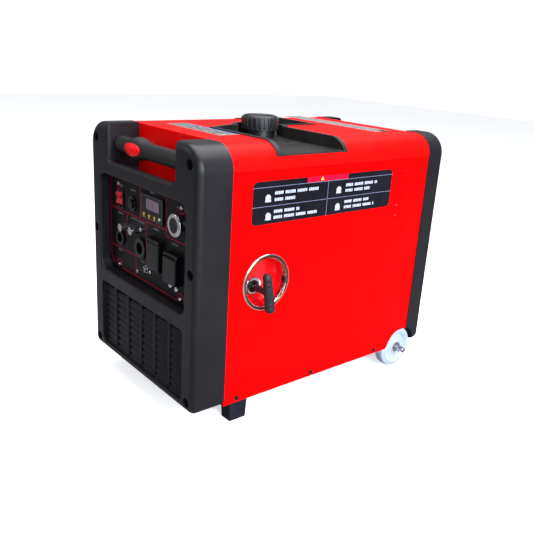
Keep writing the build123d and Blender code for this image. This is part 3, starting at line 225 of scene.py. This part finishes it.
label_grey = finish("silver foil label", (0.17, 0.17, 0.165), dusty=(0.34, 0.34, 0.33), amount=0.8,
                    tone_size=60, smooth=0.25, rough=0.45, grain_size=300, grain_depth=0.00002, metal=0.2,
                    specular=0.2)
label_blue = finish("blue print", (0.02, 0.06, 0.35), smooth=0.35, rough=0.45, grain_depth=0, specular=0.1)
panel_red = finish("panel line print", (0.50, 0.001, 0.020), dusty=(0.66, 0.006, 0.035), smooth=0.35,
                   rough=0.45, grain_depth=0, specular=0.08)
panel_grey = finish("panel mark print", (0.13, 0.125, 0.14), smooth=0.4, rough=0.5, grain_depth=0,
                    specular=0.1)
screen_glass = finish("display window", (0.17, 0.10, 0.15), dusty=(0.32, 0.21, 0.27), amount=0.7,
                      tone_size=90, smooth=0.08, rough=0.16, grain_depth=0, coat=0.2)
amber = finish("amber lamp", (0.90, 0.47, 0.01), dusty=(1.0, 0.75, 0.1), tone_size=300, smooth=0.15,
               rough=0.25, grain_depth=0, specular=0.2)
pearl = finish("white key plastic", (0.70, 0.71, 0.74), smooth=0.2, rough=0.35, grain_depth=0)
rope_white = finish("braided rope", (0.6, 0.6, 0.57), smooth=0.7, rough=0.9, grain_size=500,
                    grain_depth=0.0004)


# ------------------------------------------------------------------ hand tools
def start_clean():
    if bpy.context.mode != "OBJECT":
        bpy.ops.object.mode_set(mode="OBJECT")
    bpy.ops.object.select_all(action="DESELECT")


def hold(piece):
    start_clean()
    bpy.context.view_layer.objects.active = piece
    piece.select_set(True)
    return piece


def settle(piece):
    """Put the piece's place into its mesh."""
    hold(piece)
    bpy.ops.object.transform_apply(location=True, rotation=True, scale=True)
    return piece


def block(name, low, high):
    start_clean()
    centre = [(a + b) / 2 for a, b in zip(low, high)]
    bpy.ops.mesh.primitive_cube_add(size=1, location=centre)
    piece = bpy.context.object
    piece.name = name
    piece.scale = [b - a for a, b in zip(low, high)]
    return settle(piece)


TURNS = {"x": (0, math.pi / 2, 0), "y": (math.pi / 2, 0, 0), "z": (0, 0, 0)}


def drum(name, axis, radius, low, high, centre, sides=64):
    """Round bar along an axis from low to high; centre gives its other two places."""
    start_clean()
    middle = (low + high) / 2
    spot = {"x": (middle, *centre), "y": (centre[0], middle, centre[1]), "z": (*centre, middle)}[axis]
    bpy.ops.mesh.primitive_cylinder_add(vertices=sides, radius=radius, depth=high - low, location=spot,
                                        rotation=TURNS[axis])
    piece = bpy.context.object
    piece.name = name
    return settle(piece)


def soften(piece, width, segments=3, angle=35):
    hold(piece)
    bevel = piece.modifiers.new("soft edges", "BEVEL")
    bevel.width = width
    bevel.segments = segments
    bevel.limit_method = "ANGLE"
    bevel.angle_limit = math.radians(angle)
    bpy.ops.object.modifier_apply(modifier=bevel.name)
    return piece


def smooth(piece, angle=40):
    hold(piece)
    bpy.ops.object.shade_smooth_by_angle(angle=math.radians(angle))
    return piece


def pick_faces(piece, wanted):
    """Open the piece for editing with only the wanted faces selected."""
    hold(piece)
    bpy.ops.object.mode_set(mode="EDIT")
    bpy.ops.mesh.select_mode(type="FACE")
    bpy.ops.mesh.select_all(action="DESELECT")
    mesh = bmesh.from_edit_mesh(piece.data)
    for face in mesh.faces:
        face.select_set(wanted(face))
    mesh.select_flush_mode()
    bmesh.update_edit_mesh(piece.data)


def copy_of(piece):
    copy = piece.copy()
    copy.data = piece.data.copy()
    bpy.context.scene.collection.objects.link(copy)
    return copy


def close_edit():
    bpy.ops.object.mode_set(mode="OBJECT")


def join(name, pieces):
    start_clean()
    for piece in pieces:
        piece.select_set(True)
    bpy.context.view_layer.objects.active = pieces[0]
    bpy.ops.object.join()
    whole = bpy.context.object
    whole.name = name
    return whole


def paint(piece, material):
    piece.data.materials.clear()
    piece.data.materials.append(material)
    return piece


def fit(piece, body, material, replaces=None):
    """Give a finished piece its material, its body and what it stands for."""
    if material is not None:
        paint(piece, material)
    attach(piece, body)
    if replaces:
        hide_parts(*replaces)
    return piece


def lathe(name, axis, centre, outline, steps=96):
    """Spin an open outline of (radius, place along the axis) once about the axis."""
    start_clean()
    bpy.ops.mesh.primitive_plane_add(size=1, location=(0, 0, 0))
    piece = bpy.context.object
    piece.name = name
    mesh = bmesh.new()
    last = None
    for radius, along in outline:
        point = {"x": (along, radius, 0), "y": (radius, along, 0), "z": (radius, 0, along)}[axis]
        here = mesh.verts.new(point)
        if last is not None:
            mesh.edges.new((last, here))
        last = here
    mesh.to_mesh(piece.data)
    mesh.free()
    hold(piece)
    bpy.ops.object.mode_set(mode="EDIT")
    bpy.ops.mesh.select_all(action="SELECT")
    direction = {"x": (1, 0, 0), "y": (0, 1, 0), "z": (0, 0, 1)}[axis]
    bpy.ops.mesh.spin(steps=steps, angle=2 * math.pi, center=(0, 0, 0), axis=direction)
    bpy.ops.mesh.select_all(action="SELECT")
    bpy.ops.mesh.remove_doubles(threshold=0.000005)
    bpy.ops.mesh.normals_make_consistent(inside=False)
    close_edit()
    piece.location = {"x": (0, *centre), "y": (centre[0], 0, centre[1]), "z": (*centre, 0)}[axis]
    settle(piece)
    return piece


# ------------------------------------------------------------------ finishes on the case
plain = {
    red_paint: ["right_side_panel", "left_side_panel"],
    cup_red: ["recoil_cup"],
    # The top cover's paint carries a painted haze of light.
    cover_red_painted_haze: ["top_cover"],
    case_black: ["front_frame", "rear_frame"],
    grille_black: ["rear_grille"],
    tray_black: ["spill_tray"],
    panel_black: ["control_panel"],
    pan_black: ["base_pan"],
    foot_rubber: ["front_feet", "engine_mounts"],
    grip_black: ["handle_grip"],
    red_plastic: ["release_button"],
    rocker_red: ["rocker_switch"],
    chrome: ["handle_rods", "start_ring", "left_post_cap", "right_post_cap", "panel_screws"],
    zinc: ["wheel_axle", "wheel_fasteners", "handle_guides", "crankshaft", "terminal_posts",
           "ground_terminal"],
    dark_screw: ["case_screws"],
    cast_metal: ["recoil_housing", "engine_block", "cylinder_head", "carburettor", "inverter_module"],
    iron: ["flywheel_fan"],
    copper: ["stator"],
    silencer: ["muffler"],
    gloss_black: ["switch_bezels", "meter_case", "start_button", "round_sockets", "ac_outlet",
                  "power_outlet",
                  "ac_outlet_cover", "power_outlet_cover", "breaker_button"],
    cap_black: ["cap_insert", "air_cleaner", "battery", "recoil_pulley", "fuel_tank", "filler_neck"],
    screen_glass: ["meter_screen"],
    pearl: ["meter_button"],
    rope_white: ["starter_rope"],
}
for material, names in plain.items():
    for name in names:
        paint(nodes[name], material)


# ------------------------------------------------------------------ louvred front grille
def make_front_grille():
    """Six columns of sloping slats between upright ribs."""
    low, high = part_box("front_grille")
    half, bottom, top = 0.146, 0.065, 0.195
    y_face = low.y
    pieces = []
    pitch = 0.0135
    columns = 6
    wide = 2 * half / columns
    slat = block("slat", (-half, y_face + 0.0008, 0), (half, y_face + 0.0042, 0.0085))
    pick_faces(slat, lambda f: f.normal.z > 0.9)
    bpy.ops.transform.translate(value=(0, 0.0034, 0.002))
    close_edit()
    soften(slat, 0.0006, 2)
    rows = int((top - bottom) / pitch)
    for row in range(rows):
        copy = copy_of(slat)
        copy.location.z = bottom + 0.002 + row * pitch
        pieces.append(settle(copy))
    bpy.data.objects.remove(slat, do_unlink=True)
    for column in range(columns + 1):
        x = -half + column * wide
        rib = block("rib", (x - 0.0035, y_face + 0.0002, bottom), (x + 0.0035, high.y, top))
        pieces.append(soften(rib, 0.001, 2))
    for z0, z1 in ((low.z, bottom + 0.003), (top - 0.004, high.z)):
        rail = block("rail", (low.x, y_face + 0.0003, z0), (high.x, high.y, z1))
        pieces.append(soften(rail, 0.001, 2))
    for x0, x1 in ((low.x, -half + 0.002), (half - 0.002, high.x)):
        side = block("side", (x0, y_face + 0.0003, low.z + 0.010), (x1, high.y, high.z - 0.010))
        pieces.append(soften(side, 0.001, 2))
    grille = join("front_grille_slats", pieces)
    smooth(grille, 30)
    fit(grille, "case", grille_black, ["front_grille"])


make_front_grille()


# ------------------------------------------------------------------ fuel cap
def make_fuel_cap():
    low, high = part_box("fuel_cap")
    centre = ((low.x + high.x) / 2, (low.y + high.y) / 2)
    radius = (high.x - low.x) / 2
    tall = high.z - low.z
    outline = [(0.0304, low.z + 0.0002), (radius - 0.0022, low.z + 0.0002),
               (radius - 0.0006, low.z + 0.0012),
               (radius - 0.0006, low.z + 0.0035), (radius - 0.0018, low.z + 0.0045),
               (radius - 0.0022, high.z - 0.006),
               (radius - 0.0030, high.z - 0.0032), (radius - 0.0052, high.z - 0.0012),
               (radius - 0.009, high.z - 0.0003),
               (radius - 0.013, high.z - 0.0004), (radius - 0.0145, high.z - 0.0016),
               (radius - 0.016, high.z - 0.0018),
               (0.0, high.z - 0.0014)]
    shell = lathe("cap_shell", "z", centre, outline)
    ribs = []
    rib = block("rib", (radius - 0.0055, -0.0027, low.z + 0.004),
                (radius - 0.0001, 0.0027, high.z - 0.0042))
    soften(rib, 0.0013, 4)
    count = 24
    for step in range(count):
        copy = copy_of(rib)
        copy.rotation_euler.z = 2 * math.pi * (step + 0.5) / count
        copy.location = (*centre, 0)
        ribs.append(settle(copy))
    bpy.data.objects.remove(rib, do_unlink=True)
    skirt = lathe("cap_liner", "z", centre, [(0.0304, low.z + 0.0002), (0.0304, high.z - 0.004),
                                             (0.0, high.z - 0.004)])
    cap = join("fuel_cap_ribbed", [shell, skirt] + ribs)
    smooth(cap, 35)
    fit(cap, "cap", cap_black, ["fuel_cap"])


make_fuel_cap()


# ------------------------------------------------------------------ wheels
def make_wheel(side, body, node):
    low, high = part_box(node)
    outer = high.x if side > 0 else low.x
    inner = low.x if side > 0 else high.x
    s = side * MM

    def at(radius, depth):
        return radius * MM, outer - s * depth
    wide = abs(outer - inner) / MM
    outline = [at(5.6, 2.2), at(11.4, 2.2), at(12.6, 2.8), at(13.2, 4.2), at(14.6, 5.4), at(19.5, 5.9),
               at(20.2, 5.3),
               at(21.6, 5.3), at(22.3, 6.0), at(28.6, 6.0), at(29.6, 5.2), at(30.4, 3.2), at(31.4, 2.2),
               at(32.6, 2.0),
               at(33.0, 0.9), at(33.9, 0.3), at(36.4, 0.3), at(37.3, 0.9), at(37.7, 2.0), at(38.6, 2.3),
               at(40.4, 2.0),
               at(41.6, 2.4), at(43.1, 3.8), at(43.85, 6.0), at(44.0, wide / 2), at(43.85, wide - 6.0),
               at(43.1, wide - 3.8), at(41.6, wide - 2.0), at(36.0, wide - 1.0), at(32.0, wide - 3),
               at(30.5, wide - 6),
               at(15.0, wide - 6.2), at(13.0, wide - 2.4), at(5.6, wide - 2.2), at(5.6, 2.2)]
    wheel = lathe(f"{node}_moulding", "x", WHEEL_CENTRE, outline, 120)
    smooth(wheel, 38)
    fit(wheel, body, wheel_grey, [node])


make_wheel(1, "wheel_right", "right_wheel")
make_wheel(-1, "wheel_left", "left_wheel")


# ------------------------------------------------------------------ pull starter
def make_pull_grip():
    """Grip bar with rounded ends, shallow finger grooves and a moulded neck."""
    low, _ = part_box("recoil_grip")
    centre = Vector(PULL_CENTRE)
    half = 0.037
    rings = []
    for step in range(49):
        t = step / 48
        along = -half + 2 * half * t
        base = 0.0093 - 0.0018 * t
        end = min(t, 1 - t) * 2 * half
        round_off = math.sqrt(max(0.0, 1 - (1 - min(1.0, end / 0.0062)) ** 2)) if end < 0.0062 else 1.0
        ripple = 0.00035 * math.cos(2 * math.pi * along / 0.0092) if abs(along) > 0.012 else 0.0
        rings.append((max(0.0, (base + ripple) * round_off), along))
    bar = lathe("grip_bar", "z", (0, 0), rings, 64)
    bar.rotation_euler.x = math.radians(PULL_TILT)
    bar.location = centre
    settle(bar)
    neck = lathe("grip_neck", "x", (centre.y, centre.z), [
        (0.0, low.x + 0.0002), (0.0052, low.x + 0.0002), (0.0064, low.x + 0.0012), (0.0069, low.x + 0.004),
        (0.0062, low.x + 0.012), (0.0058, low.x + 0.020), (0.0064, low.x + 0.028), (0.0062, 0.194),
        (0.0, 0.1945)], 48)
    grip = join("pull_grip_moulded", [bar, neck])
    smooth(grip, 50)
    fit(grip, "starter_grip", pull_black, ["recoil_grip"])


make_pull_grip()


def make_starter_ring():
    """Ring round the cup: a bright bead outside, a chrome band whose brown colour is a painted reflection,
    and a bright inner wall.
    """
    low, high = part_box("recoil_bezel")
    centre = ((low.y + high.y) / 2, (low.z + high.z) / 2)
    outer = (high.y - low.y) / 2
    foot = low.x + 0.0002
    bead = lathe("ring_bead", "x", centre, [
        (outer - 0.0020, foot), (outer, foot), (outer, foot + 0.0012), (outer - 0.0006, foot + 0.0024),
        (outer - 0.0014, foot + 0.0030), (outer - 0.0021, foot + 0.0030), (outer - 0.0020, foot)], 128)
    smooth(bead, 50)
    fit(bead, "case", chrome, ["recoil_bezel"])
    band = lathe("ring_band", "x", centre, [
        (outer - 0.0021, foot + 0.0028), (outer - 0.0028, foot + 0.0034), (outer - 0.0046, foot + 0.0038),
        (outer - 0.0058, foot + 0.0034), (outer - 0.0062, foot + 0.0026), (outer - 0.0062, foot),
        (outer - 0.0021, foot), (outer - 0.0021, foot + 0.0028)], 128)
    smooth(band, 50)
    # The band's brown colour is a painted reflection, not a tint of the metal.
    fit(band, "case", chrome_painted_brown_reflection)
    wall = lathe("ring_wall", "x", centre, [
        (outer - 0.0062, foot + 0.0024), (outer - 0.0069, foot + 0.0018), (outer - 0.0072, foot),
        (outer - 0.0090, foot - 0.0060), (outer - 0.0095, foot - 0.0060), (outer - 0.0078, foot - 0.0002),
        (outer - 0.0064, foot - 0.0002), (outer - 0.0062, foot + 0.0024)], 128)
    smooth(wall, 50)
    fit(wall, "case", chrome)


make_starter_ring()


def make_rope_eye():
    """Polished plate at the bottom of the cup with the rope's black eye in it."""
    low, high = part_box("rope_guide")
    centre = ((low.y + high.y) / 2, (low.z + high.z) / 2)
    face = high.x - 0.005
    plate = lathe("eye_plate", "x", centre, [
        (0.0112, face + 0.0001), (0.0112, face + 0.0020), (0.0150, face + 0.0026), (0.0166, face + 0.0018),
        (0.0170, face + 0.0001), (0.0112, face + 0.0001)], 72)
    smooth(plate, 40)
    fit(plate, "case", chrome)
    eye = lathe("eye_bush", "x", centre, [
        (0.0024, low.x), (0.0108, low.x), (0.0110, face + 0.0030), (0.0104, high.x - 0.0008),
        (0.0088, high.x),
        (0.0060, high.x - 0.0006), (0.0034, high.x - 0.0030), (0.0024, high.x - 0.0050), (0.0024, low.x)],
        72)
    smooth(eye, 45)
    fit(eye, "case", gloss_black, ["rope_guide"])


make_rope_eye()


# ------------------------------------------------------------------ printed labels
def plate_on_side(name, y0, y1, z0, z1, lift, thick, corner=0.0):
    piece = block(name, (SKIN + lift, y0, z0), (SKIN + lift + thick, y1, z1))
    if corner:
        hold(piece)
        bpy.ops.object.mode_set(mode="EDIT")
        bpy.ops.mesh.select_mode(type="EDGE")
        bpy.ops.mesh.select_all(action="DESELECT")
        mesh = bmesh.from_edit_mesh(piece.data)
        for edge in mesh.edges:
            a, b = edge.verts
            edge.select_set(abs(a.co.y - b.co.y) < 1e-6 and abs(a.co.z - b.co.z) < 1e-6)
        bmesh.update_edit_mesh(piece.data)
        bpy.ops.mesh.bevel(offset=corner, segments=8, affect="EDGES")
        close_edit()
    return piece


def rows_of_marks(name, place, rows, size, gap):
    """Short blocks in rows, standing in for small print, with a space after every few."""
    marks = []
    for start, z, count in rows:
        for step in range(count):
            if step % 7 == 5 and count > 8:
                continue
            a = start + step * gap
            marks.append(place(f"{name}_mark", a, a + size[0], z, z + size[1]))
    return join(name, marks)


def make_side_label():
    back = plate_on_side("side_label", -0.192, 0.145, 0.367, 0.439, 0.00002, VINYL, 0.009)
    fit(back, "case", label_black)
    rules = [plate_on_side("rule", -0.192, 0.145, 0.4285, 0.4293, VINYL_FRONT, INK),
             plate_on_side("rule", -0.192, 0.145, 0.3966, 0.3974, VINYL_FRONT, INK),
             plate_on_side("rule", -0.0249, -0.0241, 0.367, 0.4285, VINYL_FRONT, INK)]
    fit(join("label_rules", rules), "case", label_line)
    strip = plate_on_side("label_red_strip", -0.075, 0.024, 0.4300, 0.4390, VINYL_FRONT, INK)
    fit(strip, "case", label_red)
    start_clean()
    bpy.ops.mesh.primitive_cylinder_add(vertices=3, radius=0.0042, depth=0.0001,
                                        location=(SKIN + VINYL_FRONT + 0.00014, -0.040, 0.4338),
                                        rotation=(math.pi / 2, 0, math.pi / 2))
    triangle = bpy.context.object
    triangle.name = "label_triangle"
    settle(triangle)
    fit(triangle, "case", label_yellow)

    def on_side(name, y0, y1, z0, z1):
        return plate_on_side(name, y0, y1, z0, z1, VINYL_FRONT, INK)
    rows = [(-0.146, 0.4155, 26), (-0.146, 0.4045, 13), (-0.146, 0.3845, 15), (-0.146, 0.3745, 26),
            (0.020, 0.4155, 22), (0.020, 0.4055, 17), (0.020, 0.3850, 17), (0.020, 0.3750, 21)]
    marks = rows_of_marks("label_small_marks", on_side, rows, (0.0030, 0.0052), 0.0038)
    fit(marks, "case", label_white)
    icons = []
    for y, z in ((-0.160, 0.4070), (-0.158, 0.3765), (0.003, 0.4075), (0.003, 0.3765)):
        start_clean()
        bpy.ops.mesh.primitive_cylinder_add(vertices=24, radius=0.0058, depth=0.0001,
                                            location=(SKIN + VINYL_FRONT + 0.00006, y, z + 0.004),
                                            rotation=(0, math.pi / 2, 0))
        dot = bpy.context.object
        settle(dot)
        icons.append(dot)
        icons.append(plate_on_side("icon_foot", y - 0.0060, y + 0.0060, z - 0.0028, z + 0.0008,
                                   VINYL_FRONT, INK))
    fit(join("label_icons", icons), "case", label_white)


make_side_label()


def make_top_labels():
    lift = TOP_SKIN + 0.00003
    plate = block("top_label_front", (-0.095, -0.188, lift), (0.075, -0.143, lift + VINYL))
    fit(plate, "case", label_grey)
    line = block("top_label_edge", (-0.095, -0.1465, lift + 0.00028), (0.075, -0.143, lift + 0.00036))
    fit(line, "case", label_blue)
    bars = []
    for row in range(5):
        z = lift + 0.00028
        y = -0.184 + row * 0.0072
        for step in range(4 if row % 2 else 5):
            x = -0.088 + step * (0.038 if row % 2 else 0.031)
            bars.append(block("bar", (x, y, z), (x + 0.024, y + 0.0022, z + INK)))
    fit(join("top_label_bars", bars), "case", label_black)
    strip = block("top_label_rear", (-0.165, 0.166, lift), (0.108, 0.212, lift + VINYL))
    fit(strip, "case", label_grey)
    start_clean()
    bpy.ops.mesh.primitive_cylinder_add(vertices=3, radius=0.020, depth=0.0001,
                                        location=(0.104, 0.198, lift + 0.0004),
                                        rotation=(0, 0, math.radians(-30)))
    corner = bpy.context.object
    corner.name = "top_label_corner"
    settle(corner)
    fit(corner, "case", label_black)


make_top_labels()


# ------------------------------------------------------------------ control panel print
def on_panel(name, x0, x1, z0, z1):
    return block(name, (x0, PANEL - 0.00012, z0), (x1, PANEL - 0.00001, z1))


def panel_line(x0, z0, x1, z1, wide=0.0011):
    if abs(x1 - x0) > abs(z1 - z0):
        return on_panel("line", min(x0, x1), max(x0, x1), z0 - wide / 2, z0 + wide / 2)
    return on_panel("line", x0 - wide / 2, x0 + wide / 2, min(z0, z1), max(z0, z1))


def panel_arc(x, z, radius, start, sweep, wide=0.0011, steps=14):
    """Flat ring segment on the panel's face."""
    start_clean()
    bpy.ops.mesh.primitive_plane_add(size=1)
    piece = bpy.context.object
    mesh = bmesh.new()
    rows = []
    for step in range(steps + 1):
        turn = math.radians(start + sweep * step / steps)
        rows.append([mesh.verts.new((x + r * math.cos(turn), PANEL - 0.00012, z + r * math.sin(turn)))
                     for r in (radius - wide / 2, radius + wide / 2)])
    for a, b in zip(rows, rows[1:]):
        mesh.faces.new((a[0], a[1], b[1], b[0]))
    mesh.to_mesh(piece.data)
    mesh.free()
    hold(piece)
    bpy.ops.object.mode_set(mode="EDIT")
    bpy.ops.mesh.select_all(action="SELECT")
    bpy.ops.mesh.extrude_region_move(TRANSFORM_OT_translate={"value": (0, 0.0001, 0)})
    bpy.ops.mesh.select_all(action="SELECT")
    bpy.ops.mesh.normals_make_consistent(inside=False)
    close_edit()
    return piece


def make_panel_print():
    left, right, low, high = -0.1415, 0.1415, 0.229, 0.400
    r = 0.012
    lines = [panel_line(left, low + 0.020, left, high - r), panel_line(right, low + 0.020, right, high - r),
             panel_line(left + r, high, -0.118, high), panel_line(-0.098, high, 0.098, high),
             panel_line(0.118, high, right - r, high), panel_line(-0.098, low, 0.098, low),
             panel_arc(left + r, high - r, r, 90, 90), panel_arc(right - r, high - r, r, 0, 90),
             panel_arc(left + 0.020, low + 0.020, 0.020, 180, 62),
             panel_arc(right - 0.020, low + 0.020, 0.020, 298, 62),
             panel_arc(-0.108, high - 0.009, 0.0098, 180, 180),
             panel_arc(0.108, high - 0.009, 0.0098, 180, 180),
             panel_arc(-0.108, low + 0.005, 0.0098, -10, 200),
             panel_arc(0.108, low + 0.005, 0.0098, -10, 200),
             panel_line(-0.029, 0.342, -0.029, high), panel_line(0.060, 0.332, 0.060, high),
             panel_line(left, 0.342, 0.060, 0.342), panel_line(0.060, 0.332, right, 0.332),
             panel_line(-0.078, 0.295, -0.078, 0.342), panel_line(-0.0066, 0.252, -0.0066, 0.342),
             panel_line(left, 0.268, -0.045, 0.268), panel_line(-0.045, low, -0.045, 0.268)]
    fit(join("panel_lines", lines), "case", panel_red)
    marks = []
    for x, z, count in ((-0.112, 0.3865, 5), (-0.064, 0.3865, 5), (0.006, 0.3955, 4), (0.092, 0.3880, 5),
                        (-0.112, 0.334, 5), (-0.062, 0.335, 6), (-0.036, 0.335, 6), (0.018, 0.334, 5),
                        (0.080, 0.323, 5),
                        (-0.112, 0.262, 4), (-0.028, 0.262, 4)):
        for step in range(count):
            marks.append(on_panel("mark", x + step * 0.0038, x + step * 0.0038 + 0.0028, z, z + 0.0030))
    fit(join("panel_small_marks", marks), "case", panel_grey)


make_panel_print()


def make_meter_details():
    """Rim line, display bars and the three amber lamps on the meter."""
    low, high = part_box("meter_case")
    face = low.y
    pieces = []
    for x0, x1, z0, z1 in ((low.x + 0.003, high.x - 0.003, high.z - 0.0034, high.z - 0.0028),
                           (low.x + 0.003, high.x - 0.003, low.z + 0.0028, low.z + 0.0034),
                           (low.x + 0.003, low.x + 0.0036, low.z + 0.003, high.z - 0.003),
                           (high.x - 0.0036, high.x - 0.003, low.z + 0.003, high.z - 0.003)):
        pieces.append(block("rim", (x0, face - 0.0001, z0), (x1, face + 0.00005, z1)))
    fit(join("meter_rim", pieces), "case", panel_grey)
    lamps = []
    for x in (-0.010, 0.008, 0.026):
        lamps.append(soften(drum("lamp", "y", 0.0026, face - 0.0008, face + 0.0005, (x, 0.3555), 24),
                            0.0005, 2))
        lamps.append(block("tick", (x - 0.002, face - 0.0001, 0.3505), (x + 0.002, face + 0.0001, 0.3517)))
    smooth(join("meter_lamps", lamps), 40)
    fit(bpy.context.object, "case", amber)


make_meter_details()


# ------------------------------------------------------------------ light, floor and camera
start_clean()
bpy.ops.mesh.primitive_plane_add(size=14, location=(0, 0, 0))
floor = bpy.context.object
floor.name = "studio_floor"
# The floor and the surround are white where they are seen directly,
# and darker in reflections and bounced light.
floor_paint = bpy.data.materials.new("studio floor")
floor_paint.use_nodes = True
seen = floor_paint.node_tree.nodes.new("ShaderNodeLightPath")
tint = floor_paint.node_tree.nodes.new("ShaderNodeMix")
tint.data_type = "RGBA"
tint.inputs[6].default_value = (0.24, 0.24, 0.25, 1)
tint.inputs[7].default_value = (1, 1, 1, 1)
floor_paint.node_tree.links.new(seen.outputs["Is Camera Ray"], tint.inputs["Factor"])
floor_shader = floor_paint.node_tree.nodes["Principled BSDF"]
floor_paint.node_tree.links.new(tint.outputs[2], floor_shader.inputs["Base Color"])
floor_shader.inputs["Roughness"].default_value = 0.9
floor_paint.node_tree.links.new(seen.outputs["Is Camera Ray"], floor_shader.inputs["Emission Strength"])
floor_shader.inputs["Emission Color"].default_value = (0.6, 0.6, 0.61, 1)
floor.data.materials.append(floor_paint)

world = bpy.data.worlds.new("studio")
bpy.context.scene.world = world
world.use_nodes = True
sky = world.node_tree
behind = sky.nodes["Background"]
behind.inputs["Color"].default_value = (1, 1, 1, 1)
behind.inputs["Strength"].default_value = 1.1
around = sky.nodes.new("ShaderNodeBackground")
around.inputs["Color"].default_value = (0.88, 0.94, 1.0, 1)
around.inputs["Strength"].default_value = 0.34
sight = sky.nodes.new("ShaderNodeLightPath")
either = sky.nodes.new("ShaderNodeMixShader")
sky.links.new(sight.outputs["Is Camera Ray"], either.inputs["Fac"])
sky.links.new(around.outputs["Background"], either.inputs[1])
sky.links.new(behind.outputs["Background"], either.inputs[2])
sky.links.new(either.outputs["Shader"], sky.nodes["World Output"].inputs["Surface"])


def soft_light(name, place, aim, size, power, colour=(1, 1, 1)):
    light = bpy.data.lights.new(name, "AREA")
    light.shape = "RECTANGLE"
    light.size, light.size_y = size
    light.energy = power
    light.color = colour
    lamp = bpy.data.objects.new(name, light)
    lamp.location = place
    lamp.rotation_euler = (Vector(aim) - Vector(place)).to_track_quat("-Z", "Y").to_euler()
    bpy.context.scene.collection.objects.link(lamp)
    return lamp


soft_light("right window", (2.6, -0.3, 1.2), (0, 0, 0.25), (1.4, 1.6), 105, (0.88, 0.93, 1.0))
soft_light("top panel", (0.1, 0.3, 2.4), (0, 0, 0.3), (2.6, 2.6), 120)
soft_light("edge window", (1.9, -1.75, 0.9), (0.17, -0.28, 0.28), (0.35, 1.5), 18, (0.72, 0.86, 1.0))
soft_light("left window", (-1.8, -2.2, 1.5), (0, -0.2, 0.3), (0.8, 1.6), 8, (1.0, 0.9, 0.85))

camera_data = bpy.data.cameras.new("camera")
camera_data.sensor_width = 36.0
camera_data.lens = 43.74
camera = bpy.data.objects.new("camera", camera_data)
bpy.context.scene.collection.objects.link(camera)
turn = (Matrix.Rotation(math.radians(49.657), 4, "Z") @ Matrix.Rotation(math.radians(90 - 18.336), 4, "X")
        @ Matrix.Rotation(math.radians(3.520), 4, "Z"))
camera.matrix_world = Matrix.Translation((0.9701, -0.8261, 0.6365)) @ turn
camera_data.clip_start = 0.02
bpy.context.scene.camera = camera
bpy.context.scene.view_settings.view_transform = "Standard"
